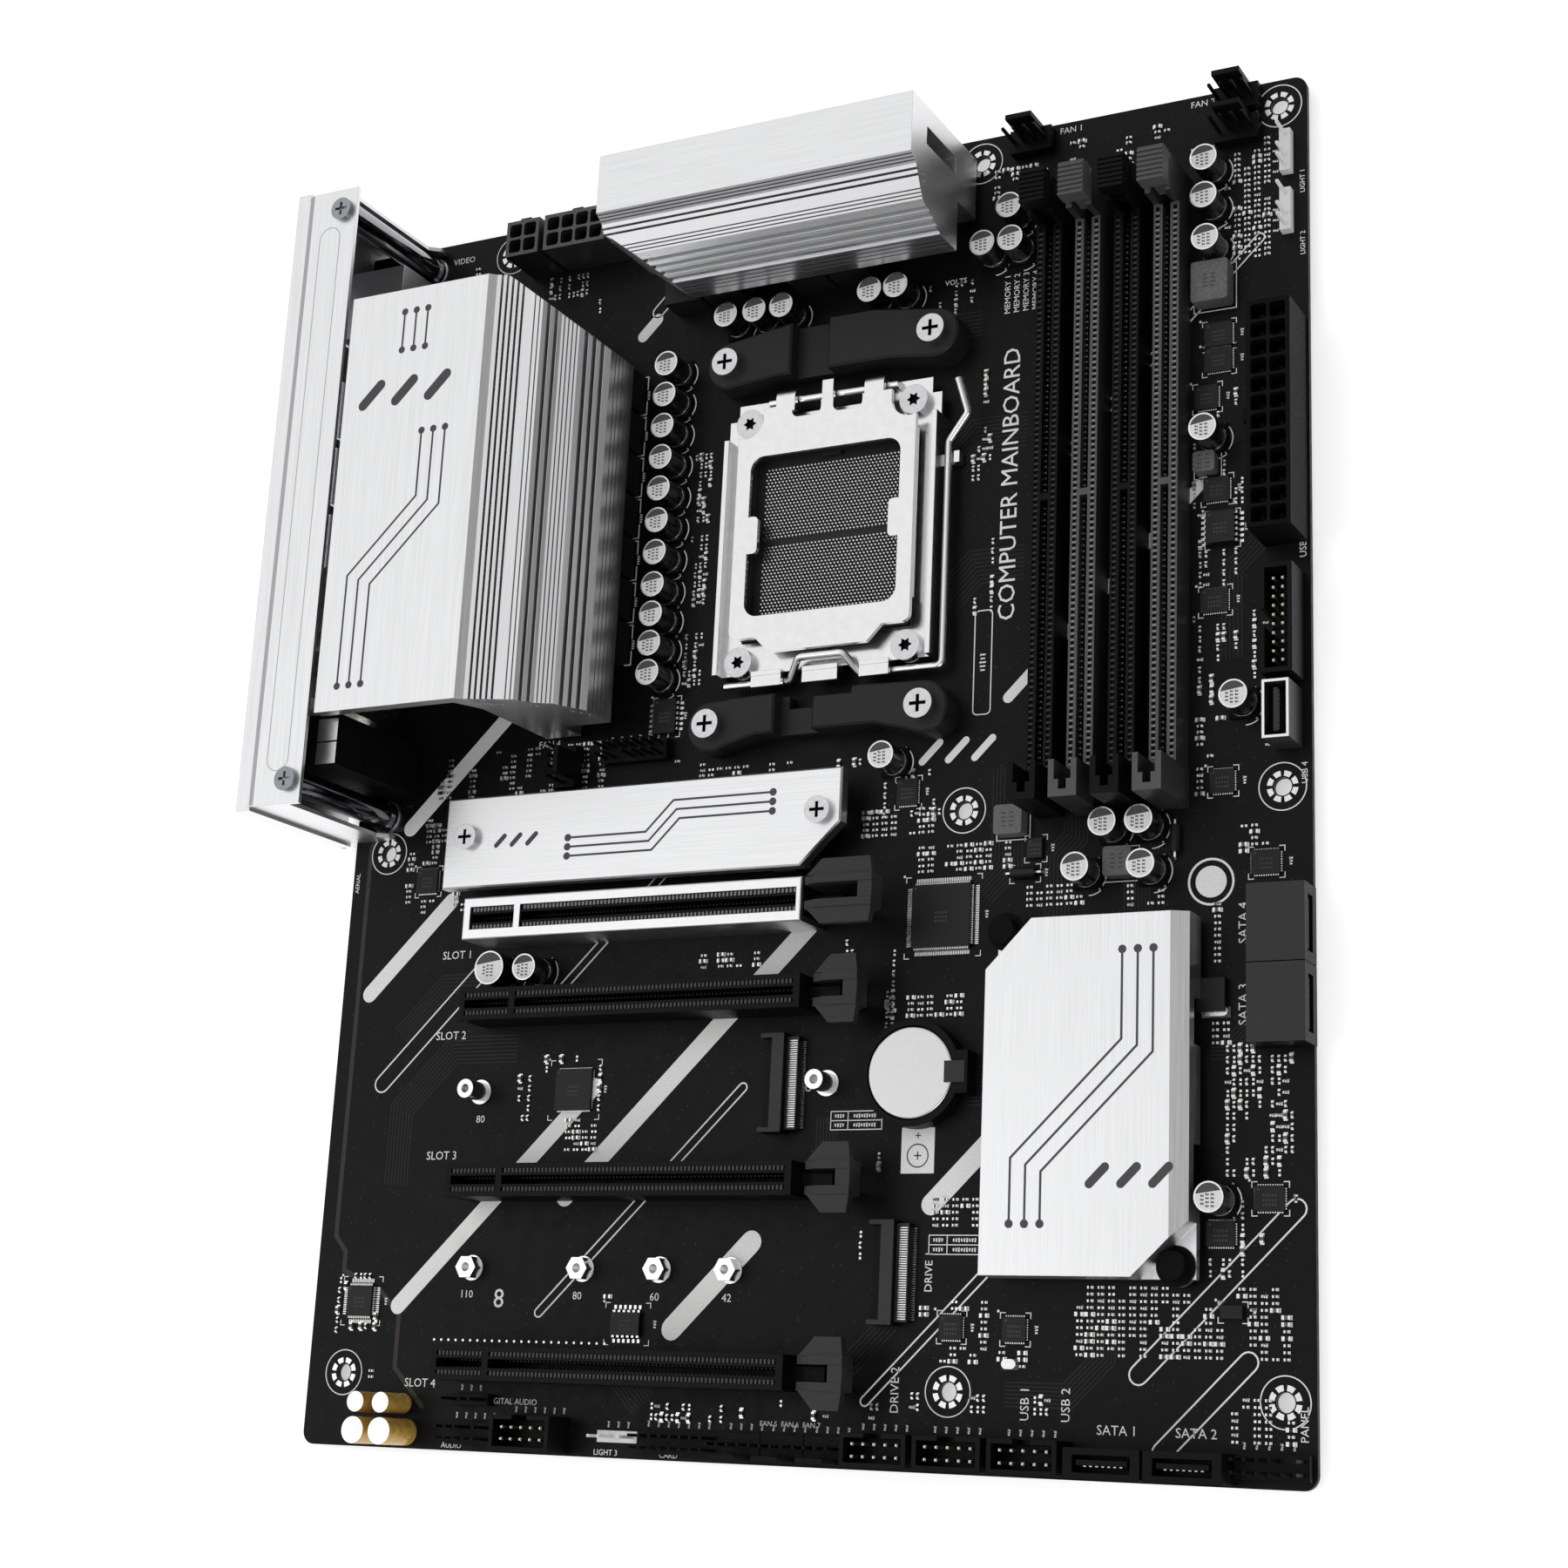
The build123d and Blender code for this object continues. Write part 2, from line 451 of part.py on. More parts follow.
# Cross-section across the top heatsink, in y and z, from the board's top edge to the socket side.
TOP_PROFILE = [(298.4, STAGE_H + PAD_T), (298.4, 38.0), (283.6, 38.0), (281.8, 35.2), (279.0, 33.6),
               (274.8, 31.2), (270.6, 22.4), (270.6, 12.2), (283.0, 12.2), (283.0, STAGE_H + PAD_T)]
with BuildPart() as vrm_heatsink_top:
    prism(along(TOP_SINK_X0), TOP_PROFILE, TOP_SINK_X1 - TOP_SINK_X0)
    # Lower rear corner cut back on the diagonal.
    prism(level(0), [(TOP_SINK_X0 - 1, 268), (TOP_SINK_X0 - 1, 280.0), (84.4, 278.6), (95.0, 270.6),
                     (95.0, 268)], 45, Mode.SUBTRACT)
    for y0, z0, count, step, drop in ((281.0, 31.0, 2, -1.2, 0.7), (273.9, 27.4, 4, -0.95, 2.0)):
        for i in range(count):
            y = y0 + step * i
            block(TOP_SINK_X0 - 1, TOP_SINK_X1 + 1, y - 0.45, y, z0 - drop * i, 45, Mode.SUBTRACT)
    # Channel along the fin block, seen from its ends.
    block(TOP_SINK_X0 - 1, TOP_SINK_X1 + 1, 289.0, 293.4, 14.0, 30.0, Mode.SUBTRACT)
    for x, y in SINK_SCREWS[2:]:
        post(x, y, 0, 8.0, SINK_SCREW_R + 0.1, Mode.SUBTRACT)
save(vrm_heatsink_top, "vrm_heatsink_top")

with BuildPart() as heatsink_screws:
    for x, y in SINK_SCREWS:
        post(x, y, -BOARD_T - 1.4, -BOARD_T, 2.6)
        post(x, y, -BOARD_T, 6.0, SINK_SCREW_R)
save(heatsink_screws, "heatsink_screws")

# ---------------------------------------------------------------- chipset
CHIPSET_X, CHIPSET_Y = 198.0, 77.0
CHIPSET_H = 1.5
CHIP_SINK_Z0, CHIP_SINK_Z1 = 2.4, 11.0
CHIP_SINK_X0, CHIP_SINK_X1, CHIP_SINK_Y0, CHIP_SINK_Y1 = 176.0, 220.6, 39.6, 113.6

with BuildPart() as chipset_heatsink:
    block(CHIP_SINK_X0, CHIP_SINK_X1, CHIP_SINK_Y0, CHIP_SINK_Y1, CHIP_SINK_Z0, CHIP_SINK_Z0 + 2.0)
    for x, y in PUSHPINS:
        post(x, y, CHIP_SINK_Z0, CHIP_SINK_Z0 + 2.0, 4.0)
    with BuildSketch(level(CHIP_SINK_Z0 + 2.0)):
        with BuildLine():
            Polyline((CHIP_SINK_X0, CHIP_SINK_Y0), (CHIP_SINK_X1 - 11.6, CHIP_SINK_Y0),
                     (CHIP_SINK_X1, CHIP_SINK_Y0 + 11.2), (CHIP_SINK_X1, CHIP_SINK_Y1),
                     (CHIP_SINK_X0 + 10.2, CHIP_SINK_Y1), (CHIP_SINK_X0, CHIP_SINK_Y1 - 10.6), close=True)
        make_face()
    extrude(amount=CHIP_SINK_Z1 - CHIP_SINK_Z0 - 2.0)
    # Bevel along the front edge, and two fin channels below the top face.
    prism(across(CHIP_SINK_Y1 + 1), [(CHIP_SINK_X1 - 3.6, CHIP_SINK_Z1), (CHIP_SINK_X1 + 1, CHIP_SINK_Z1),
                                     (CHIP_SINK_X1 + 1, CHIP_SINK_Z1 - 2.2)], 76, Mode.SUBTRACT)
    for side, y in ((-1, CHIP_SINK_Y0 + 22), (1, CHIP_SINK_Y1 - 22)):
        block(CHIP_SINK_X0 - 1, CHIP_SINK_X1 + 1, y - 5, y + 5, CHIP_SINK_Z0 - 1, 6.4, Mode.SUBTRACT)
    for x, y in PUSHPINS:
        post(x, y, CHIP_SINK_Z0, CHIP_SINK_Z0 + 2.0, PUSHPIN_R + 0.1, Mode.SUBTRACT)
save(chipset_heatsink, "chipset_heatsink")

with BuildPart() as chipset_pushpins:
    for x, y in PUSHPINS:
        post(x, y, -BOARD_T - 2.4, CHIP_SINK_Z0 + 3.0, PUSHPIN_R)
        post(x, y, CHIP_SINK_Z0 + 2.0, CHIP_SINK_Z0 + 5.6, 2.9)
        post(x, y, -BOARD_T - 1.2, -BOARD_T, PUSHPIN_R + 0.5)
save(chipset_pushpins, "chipset_pushpins")

# ---------------------------------------------------------------- drive sockets
DRIVE_SINK_Z0, DRIVE_SINK_Z1 = 6.0, 9.2
with BuildPart() as m2_heatsink:
    with BuildSketch(level(DRIVE_SINK_Z0)):
        with BuildLine():
            Polyline((33.2, 128.8), (129.4, 128.8), (139.2, 138.4), (139.2, 150.9), (33.2, 150.9), close=True)
        make_face()
    extrude(amount=DRIVE_SINK_Z1 - DRIVE_SINK_Z0)
    chamfer(m2_heatsink.faces().sort_by(Axis.Z)[-1].edges(), 0.4)
    for x, y in DRIVE_SCREWS:
        post(x, y, DRIVE_SINK_Z0, DRIVE_SINK_Z1, 1.7, Mode.SUBTRACT)
save(m2_heatsink, "m2_heatsink")

with BuildPart() as m2_heatsink_screws:
    for x, y in DRIVE_SCREWS:
        post(x, y, 2.4, DRIVE_SINK_Z1, 1.4)
        post(x, y, DRIVE_SINK_Z1, DRIVE_SINK_Z1 + 1.6, 3.1)
        cross_recess(x, y, DRIVE_SINK_Z1 + 1.6, 3.6, 0.9)
save(m2_heatsink_screws, "m2_heatsink_screws")

# Drive connectors: centre x, centre y, and the side that a drive goes in from.
DRIVE_SOCKETS = ((124.6, 139.8), (123.4, 81.4), (151.8, 40.6))
with BuildPart() as m2_connectors:
    for x, y in DRIVE_SOCKETS:
        block(x - 4.2, x + 1.6, y - 10.95, y + 10.95, 0, 4.2)
        block(x + 1.6, x + 4.4, y - 10.3, y + 10.3, 0, 2.4)
        block(x - 4.3, x - 0.4, y - 9.9, y + 9.9, 1.7, 3.3, Mode.SUBTRACT)
        block(x - 4.3, x - 1.4, y - 9.9, y + 9.9, 3.2, 4.3, Mode.SUBTRACT)
save(m2_connectors, "m2_connectors")

STANDOFF_X = (44.4, 74.4, 94.4, 112.4)
STANDOFF_Y, STANDOFF_H, STANDOFF_BORE = 40.8, 3.4, 1.0
TALL_STANDOFFS = ((43.0, 81.4), (134.2, 81.4))
with BuildPart() as m2_standoffs:
    for x in STANDOFF_X:
        post(x, STANDOFF_Y, 0, 0.6, 2.9)
        with BuildSketch(level(0.6)) as hexagon:
            with Locations((x, STANDOFF_Y)):
                RegularPolygon(2.75, 6)
        extrude(hexagon.sketch, amount=STANDOFF_H - 0.6)
        post(x, STANDOFF_Y, 0.6, STANDOFF_H, STANDOFF_BORE, Mode.SUBTRACT)
    for x, y in TALL_STANDOFFS:
        post(x, y, 0, 0.6, 2.9)
        post(x, y, 0.6, 7.0, 2.2)
        post(x, y, 2.0, 7.0, STANDOFF_BORE, Mode.SUBTRACT)
    for x, y in DRIVE_SCREWS:
        post(x, y, 0, DRIVE_SINK_Z0, 2.9)
        post(x, y, 1.6, DRIVE_SINK_Z0, 1.5, Mode.SUBTRACT)
save(m2_standoffs, "m2_standoffs")

# ---------------------------------------------------------------- thermal pads
with BuildPart() as thermal_pads:
    for x, y in LEFT_STAGES + TOP_STAGES:
        block(x - 2.9, x + 2.9, y - 3.4, y + 3.4, STAGE_H, STAGE_H + PAD_T)
    block(CHIPSET_X - 9, CHIPSET_X + 9, CHIPSET_Y - 9, CHIPSET_Y + 9, CHIPSET_H, CHIP_SINK_Z0)
    block(46.0, 118.0, 129.8, 136.8, DRIVE_SINK_Z0 - 1.2, DRIVE_SINK_Z0)
save(thermal_pads, "thermal_pads")

# ---------------------------------------------------------------- capacitors and coils
POLYMER_CAPS = (
    [(86.2, 256.6 - 8.08 * i) for i in range(8)] + [(86.2, 192.7), (86.2, 185.4), (86.2, 178.2)]
    + [(102.1, 266.8), (109.9, 266.8), (117.2, 266.8), (140.6, 266.8), (147.4, 266.8)]
    + [(175.6, 282.0), (169.2, 273.6), (176.2, 273.6)]
    + [(222.5, 284.8), (222.5, 275.6), (222.9, 265.3), (222.5, 220.4), (229.4, 159.6), (148.1, 153.1)]
    + [(57.7, 109.2), (200.6, 134.2), (208.8, 134.2), (194.6, 124.8), (209.3, 124.6), (224.4, 55.6)]
)
BULK_CAP = (48.4, 109.3, 4.0, 9.0)


def capacitor(x, y, radius, height):
    """Can capacitor on a square base, with the rolled groove near its foot."""
    with Locations(at(x, y)):
        Box(2 * radius + 0.2, 2 * radius + 0.2, 0.8, align=(Align.CENTER, Align.CENTER, Align.MIN))
    post(x, y, 0.8, height, radius)
    with BuildSketch(level(1.6)) as ring:
        with Locations((x, y)):
            Circle(radius + 0.1)
            Circle(radius - 0.25, mode=Mode.SUBTRACT)
    extrude(ring.sketch, amount=0.5, mode=Mode.SUBTRACT)


with BuildPart() as polymer_capacitors:
    for x, y in POLYMER_CAPS:
        capacitor(x, y, CAP_R, CAP_H)
    capacitor(*BULK_CAP)
save(polymer_capacitors, "polymer_capacitors")

AUDIO_CAPS = ((20.8, 9.9, 2.3, 9.0), (27.8, 9.9, 2.3, 9.0), (21.8, 3.6, 3.0, 10.6), (29.2, 3.6, 3.0, 10.6))
with BuildPart() as audio_capacitors:
    for x, y, radius, height in AUDIO_CAPS:
        post(x, y, 0, height, radius)
        with BuildSketch(level(1.2)) as ring:
            with Locations((x, y)):
                Circle(radius + 0.1)
                Circle(radius - 0.25, mode=Mode.SUBTRACT)
        extrude(ring.sketch, amount=0.6, mode=Mode.SUBTRACT)
save(audio_capacitors, "audio_capacitors")

# Shielded coils: centre x, centre y, size x, size y, height.
COILS = ((222.6, 256.6, 8.6, 9.8, 4.6), (221.0, 214.6, 5.0, 4.8, 3.0), (177.0, 137.4, 6.6, 6.6, 3.6),
         (202.3, 126.6, 6.4, 6.4, 3.6))
with BuildPart() as shielded_coils:
    for x, y, sx, sy, height in COILS:
        with BuildSketch(level(0)) as base:
            with Locations((x, y)):
                RectangleRounded(sx, sy, 0.8)
        extrude(base.sketch, amount=height)
    chamfer(shielded_coils.faces().filter_by(Axis.Z).group_by(SortBy.AREA)[-1].edges(), 0.2)
save(shielded_coils, "shielded_coils")

# ---------------------------------------------------------------- coin cell
CELL_X, CELL_Y = 156.2, 82.6
with BuildPart() as battery_holder:
    post(CELL_X, CELL_Y, 0, 4.6, 11.6)
    block(CELL_X + 6.0, CELL_X + 13.4, CELL_Y - 4.6, CELL_Y + 4.6, 0, 4.6)
    post(CELL_X, CELL_Y, 1.4, 4.7, 10.2, Mode.SUBTRACT)
save(battery_holder, "battery_holder")

with BuildPart() as coin_cell:
    post(CELL_X, CELL_Y, 1.5, 4.7, 10.0)
    fillet(coin_cell.edges().filter_by(GeomType.CIRCLE).sort_by(Axis.Z)[-1], 0.5)
save(coin_cell, "coin_cell")

# ---------------------------------------------------------------- chips
# Package centre x, centre y, size x, size y, height.
CHIPS = (
    (CHIPSET_X, CHIPSET_Y, 20.0, 20.0, CHIPSET_H),
    (160.8, 117.4, 14.0, 14.0, 1.4), (13.6, 32.9, 7.0, 7.0, 1.2), (68.8, 81.4, 9.6, 9.6, 0.9),
    (86.6, 28.9, 7.4, 5.0, 1.2), (223.6, 245.0, 6.2, 5.6, 0.9), (223.6, 239.0, 6.2, 5.6, 0.9),
    (220.9, 230.4, 5.2, 5.6, 0.9), (223.2, 208.6, 5.8, 5.6, 0.9), (224.4, 199.4, 6.4, 7.2, 2.2),
    (222.8, 183.2, 6.0, 5.4, 0.9), (224.6, 143.0, 5.2, 5.2, 0.9), (234.0, 125.0, 6.2, 5.2, 0.9),
    (222.6, 97.4, 6.2, 7.0, 2.2), (234.6, 56.0, 6.2, 5.2, 0.9), (224.4, 49.0, 6.0, 5.2, 0.9),
    (165.6, 29.6, 5.2, 5.2, 0.9), (180.0, 29.4, 5.2, 5.2, 0.9), (151.4, 146.0, 5.0, 6.0, 0.9),
    (22.8, 133.2, 6.0, 6.0, 0.9), (87.4, 169.2, 6.0, 8.4, 1.4), (226.8, 33.6, 4.6, 2.6, 1.4),
    (182.4, 131.2, 3.6, 4.4, 1.0),
)
with BuildPart() as chips:
    for x, y, sx, sy, height in CHIPS:
        with Locations(at(x, y)):
            Box(sx, sy, height, align=(Align.CENTER, Align.CENTER, Align.MIN))
    for x, y in LEFT_STAGES + TOP_STAGES:
        with Locations(at(x, y)):
            Box(5.0, 6.0, STAGE_H, align=(Align.CENTER, Align.CENTER, Align.MIN))
    # Two coils lying on the board, flat underneath.
    rod_x(177.2, 182.8, 125.8, 1.0, 1.2)
    rod_y(128.3, 134.1, 214.4, 1.0, 1.2)
    block(175.0, 217.0, 123.0, 136.0, -1.0, 0.0, Mode.SUBTRACT)
save(chips, "chips")

# ---------------------------------------------------------------- power connectors
CELL_PITCH = 4.2
POWER_H = 12.8


def power_socket(x, y, cols, rows, latch_side):
    """Upright power socket of square cells; latch_side (dx, dy) is where its plug hook catches."""
    half_x, half_y = cols * CELL_PITCH / 2 + 0.6, rows * CELL_PITCH / 2 + 0.6
    block(x - half_x, x + half_x, y - half_y, y + half_y, 0, POWER_H)
    with BuildSketch(level(3.0)) as cells:
        with Locations((x, y)):
            with GridLocations(CELL_PITCH, CELL_PITCH, cols, rows):
                RectangleRounded(3.5, 3.5, 0.7)
    extrude(cells.sketch, amount=POWER_H, mode=Mode.SUBTRACT)
    for i in range(cols):
        for j in range(rows):
            px = x + (i - (cols - 1) / 2) * CELL_PITCH
            py = y + (j - (rows - 1) / 2) * CELL_PITCH
            block(px - 0.5, px + 0.5, py - 0.5, py + 0.5, 3.0, 10.0)
    dx, dy = latch_side
    wide_x, wide_y = (1.0, 3.0) if dx else (3.0, 1.0)
    px, py = x + dx * (half_x + 0.5), y + dy * (half_y + 0.5)
    block(px - wide_x / 2, px + wide_x / 2, py - wide_y / 2, py + wide_y / 2, 6.0, POWER_H - 1.0)


with BuildPart() as atx_power_connector:
    power_socket(238.6, 220.1, 2, 12, (-1, 0))
save(atx_power_connector, "atx_power_connector")

with BuildPart() as cpu_power_connectors:
    power_socket(44.2, 295.8, 2, 2, (0, 1))
    power_socket(59.6, 295.8, 4, 2, (0, 1))
save(cpu_power_connectors, "cpu_power_connectors")

# ---------------------------------------------------------------- storage, front panel and fan connectors
SATA_L = 16.2
with BuildPart() as sata_connectors:
    for y in (110.8, 94.4):                                 # pair lying down, facing the front edge
        block(232.2, BOARD_X + 0.6, y - SATA_L / 2, y + SATA_L / 2, 0, 8.4)
        block(236.6, BOARD_X + 1, y - 5.9, y + 5.9, 2.6, 6.0, Mode.SUBTRACT)
        block(236.6, BOARD_X + 0.2, y - 5.2, y + 5.2, 3.9, 5.0)
    for x in (202.4, 219.2):                                # upright pair
        block(x - SATA_L / 2, x + SATA_L / 2, 0.4, 6.4, 0, 8.6)
        block(x - 6.1, x + 6.1, 1.6, 5.0, 3.0, 9, Mode.SUBTRACT)
        block(x - 5.4, x + 5.4, 3.0, 4.1, 3.0, 8.2)
save(sata_connectors, "sata_connectors")


def box_header(x, y, sx, sy, height, notch):
    """Open shroud around header pins; notch (dx, dy) is the side with the keying gap."""
    block(x - sx / 2, x + sx / 2, y - sy / 2, y + sy / 2, 0, height)
    block(x - sx / 2 + 1.0, x + sx / 2 - 1.0, y - sy / 2 + 1.0, y + sy / 2 - 1.0, 2.0, height, Mode.SUBTRACT)
    dx, dy = notch
    nx, ny = x + dx * sx / 2, y + dy * sy / 2
    block(nx - 2.0, nx + 2.0, ny - 2.0, ny + 2.0, 3.0, height, Mode.SUBTRACT)


with BuildPart() as usbc_header:
    block(236.0, 241.8, 149.0, 161.6, 0, 9.6)
    block(236.6, 241.2, 149.6, 161.0, 1.0, 9.6, Mode.SUBTRACT)
    block(238.2, 239.2, 150.6, 160.0, 1.0, 8.6)
save(usbc_header, "usbc_header")

with BuildPart() as box_headers:
    box_header(239.0, 175.2, 6.9, 24.0, 9.2, (-1, 0))
    for x in (152.2, 168.8, 185.4):
        box_header(x, 4.0, 15.2, 7.0, 8.6, (0, 1))
    box_header(65.4, 4.4, 15.6, 7.8, 8.6, (0, 1))
save(box_headers, "box_headers")

PIN = 0.64
PIN_PITCH = 2.54


def pin_block(x, y, cols, rows, pins_only=None, gap=None):
    """Header strip: a low plastic base with square pins through it; gap drops one pin position."""
    half_x, half_y = cols * PIN_PITCH / 2, rows * PIN_PITCH / 2
    block(x - half_x, x + half_x, y - half_y, y + half_y, 0, 2.5)
    for i in range(cols):
        for j in range(rows):
            if (i, j) != gap:
                px = x + (i - (cols - 1) / 2) * PIN_PITCH
                py = y + (j - (rows - 1) / 2) * PIN_PITCH
                block(px - PIN / 2, px + PIN / 2, py - PIN / 2, py + PIN / 2, 2.5, 8.5)


with BuildPart() as pin_headers:
    pin_block(48.0, 4.0, 5, 2, gap=(3, 1))                  # front panel audio
    pin_block(47.6, 11.4, 4, 1, gap=(1, 0))                 # digital audio
    pin_block(102.5, 3.8, 8, 2)                             # add-in card
    pin_block(235.4, 4.2, 6, 2, gap=(4, 1))                 # front panel
    pin_block(80.4, 161.0, 7, 2, gap=(2, 0))                # security module
save(pin_headers, "pin_headers")


def fan_header(x, y, turn):
    """Four pins with a keyed back wall; turn is the wall's side, (dx, dy)."""
    dx, dy = turn
    sx, sy = (5.8, 10.2) if dx else (10.2, 5.8)
    block(x - sx / 2, x + sx / 2, y - sy / 2, y + sy / 2, 0, 3.2)
    wx, wy = x + dx * (sx / 2 - 0.6), y + dy * (sy / 2 - 0.6)
    wall_x, wall_y = (1.2, 6.4) if dx else (6.4, 1.2)
    block(wx - wall_x / 2, wx + wall_x / 2, wy - wall_y / 2, wy + wall_y / 2, 3.2, 11.0)
    for i in range(4):
        step = (i - 1.5) * PIN_PITCH
        px, py = (x - dx * 0.4, y + step) if dx else (x + step, y - dy * 0.4)
        block(px - PIN / 2, px + PIN / 2, py - PIN / 2, py + PIN / 2, 3.2, 11.0)


with BuildPart() as fan_headers:
    for x in (118.0, 128.4, 138.8):
        fan_header(x, 3.6, (0, -1))
    fan_header(178.6, 300.6, (0, 1))
    fan_header(228.4, 301.2, (0, 1))
    fan_header(228.4, 293.4, (0, 1))
    fan_header(61.8, 158.4, (1, 0))
save(fan_headers, "fan_headers")

with BuildPart() as rgb_headers:
    for x, y, cols, rows, gap in ((239.4, 286.2, 1, 4, (0, 2)), (239.4, 271.8, 1, 4, (0, 2)),
                                  (87.2, 4.6, 4, 1, (2, 0))):
        pin_block(x, y, cols, rows, gap=gap)
save(rgb_headers, "rgb_headers")

# ---------------------------------------------------------------- rear panel
SHIELD_Y0, SHIELD_Y1 = 144.3, 303.0
SHIELD_TOP = 40.2
SHIELD_T = 1.0
POST_X, POST_YS = 8.8, (150.2, 297.2)

# Openings in the rear plate: y0, y1, z0, z1.
AUDIO_Y, ANTENNA_Y, LAN_Y, USB_YS, VIDEO_Y, BUTTON_Y = 161.0, 178.6, 198.4, (218.4, 236.4, 254.4), 281.4, 296.4
PORT_WINDOWS = (
    [(AUDIO_Y - 6.5, AUDIO_Y + 6.5, 0.6, 34.6), (ANTENNA_Y - 4.2, ANTENNA_Y + 4.2, 5.8, 31.4),
     (LAN_Y - 8.6, LAN_Y + 8.6, -0.4, 30.0), (VIDEO_Y - 9.3, VIDEO_Y + 9.3, -0.4, 20.4)]
    + [(y - 7.8, y + 7.8, -0.4, 17.4) for y in USB_YS]
)
BUTTON_Z, BUTTON_R = 6.0, 2.0

with BuildPart() as io_shield:
    block(-6.0, -1.9, SHIELD_Y0 - 0.8, SHIELD_Y1 + 0.8, -2.2, SHIELD_TOP - 0.4)
    block(-5.0, -1.8, SHIELD_Y0 + 0.2, SHIELD_Y1 - 0.2, -1.2, SHIELD_TOP - 1.4, Mode.SUBTRACT)
    block(-5.0, 0.2, 100, 320, -3, 0.05, Mode.SUBTRACT)
    # Folded channel that reaches over the connectors.
    block(-1.9, 12.8, SHIELD_Y0, SHIELD_Y1, SHIELD_TOP - SHIELD_T, SHIELD_TOP)
    block(-2.4, -1.4, SHIELD_Y0, SHIELD_Y1, SHIELD_TOP - 1.8, SHIELD_TOP - 0.6)
    for y0 in (SHIELD_Y0, SHIELD_Y1 - SHIELD_T):
        prism(across(y0 + SHIELD_T), [(-2.4, 0.1), (11.8, 0.1), (11.8, 3.0), (9.4, 5.0), (9.4, SHIELD_TOP),
                                      (-2.4, SHIELD_TOP)], SHIELD_T)
    for y0, y1, z0, z1 in PORT_WINDOWS:
        block(-7, -4, y0, y1, z0, z1, Mode.SUBTRACT)
    rod_x(-7, -4, BUTTON_Y, BUTTON_Z, BUTTON_R + GAP, Mode.SUBTRACT)
    for y in POST_YS:
        post(POST_X, y, 30, 50, 1.6, Mode.SUBTRACT)
save(io_shield, "io_shield")

with BuildPart() as io_posts:
    for y in POST_YS:
        post(POST_X, y, 0, 2.2, 3.9)
        post(POST_X, y, 2.2, SHIELD_TOP - SHIELD_T, 3.2)
        post(POST_X, y, SHIELD_TOP - SHIELD_T, SHIELD_TOP, 1.5)
        post(POST_X, y, SHIELD_TOP, SHIELD_TOP + 1.2, 2.9)
        cross_recess(POST_X, y, SHIELD_TOP + 1.2, 3.4, 0.8)
save(io_posts, "io_posts")

with BuildPart() as video_ports:
    block(PORT_FACE_X, 13.6, VIDEO_Y - 9.0, VIDEO_Y + 9.0, 0, 20.0)
    for z0, width in ((3.0, 15.2), (12.2, 16.2)):
        prism(along(PORT_FACE_X), [(VIDEO_Y - width / 2, z0 + 1.2), (VIDEO_Y - width / 2 + 1.2, z0),
                                   (VIDEO_Y + width / 2 - 1.2, z0), (VIDEO_Y + width / 2, z0 + 1.2),
                                   (VIDEO_Y + width / 2, z0 + 5.2), (VIDEO_Y - width / 2, z0 + 5.2)],
              10, Mode.SUBTRACT)
        block(PORT_FACE_X + 1.0, 4, VIDEO_Y - width / 2 + 2, VIDEO_Y + width / 2 - 2, z0 + 2.2, z0 + 3.4)
save(video_ports, "video_ports")

USB_H, USB_W = 17.0, 15.0


def usb_stack(y, z0):
    """Two stacked ports in one folded metal shell, each with its contact tongue."""
    block(PORT_FACE_X, 12.4, y - USB_W / 2, y + USB_W / 2, z0, z0 + USB_H)
    for z in (z0 + 1.8, z0 + 9.4):
        block(PORT_FACE_X - 1, 5.0, y - 6.4, y + 6.4, z, z + 5.4, Mode.SUBTRACT)
        block(PORT_FACE_X + 1.0, 5.0, y - 5.6, y + 5.6, z + 2.9, z + 4.8)


RJ_Z0, RJ_Z1 = 17.4, 25.8
with BuildPart() as usb_lan_ports:
    for y in USB_YS:
        usb_stack(y, 0)
    block(PORT_FACE_X, 15.4, LAN_Y - 8.3, LAN_Y + 8.3, 0, 29.6)
    for z in (1.8, 9.0):
        block(PORT_FACE_X - 1, 5.0, LAN_Y - 6.4, LAN_Y + 6.4, z, z + 5.4, Mode.SUBTRACT)
        block(PORT_FACE_X + 1.0, 5.0, LAN_Y - 5.6, LAN_Y + 5.6, z + 2.9, z + 4.8)
    block(PORT_FACE_X - 1, 8.0, LAN_Y - 5.9, LAN_Y + 5.9, RJ_Z0, RJ_Z1, Mode.SUBTRACT)
    block(PORT_FACE_X - 1, 2.0, LAN_Y - 3.0, LAN_Y + 3.0, RJ_Z1 - 0.1, RJ_Z1 + 2.4, Mode.SUBTRACT)
save(usb_lan_ports, "usb_lan_ports")

JACK_R = 1.8
JACK_ZS = (6.2, 17.6, 29.0)
with BuildPart() as audio_jacks:
    for z, bottom, top in zip(JACK_ZS, (0, 12.0, 23.4), (11.8, 23.2, 34.4)):
        block(-4.4, 17.8, AUDIO_Y - 6.2, AUDIO_Y + 6.2, bottom, top)
        rod_x(PORT_FACE_X, -4.4, AUDIO_Y, z, 3.6)
        rod_x(PORT_FACE_X, 8.0, AUDIO_Y, z, JACK_R, Mode.SUBTRACT)
save(audio_jacks, "audio_jacks")

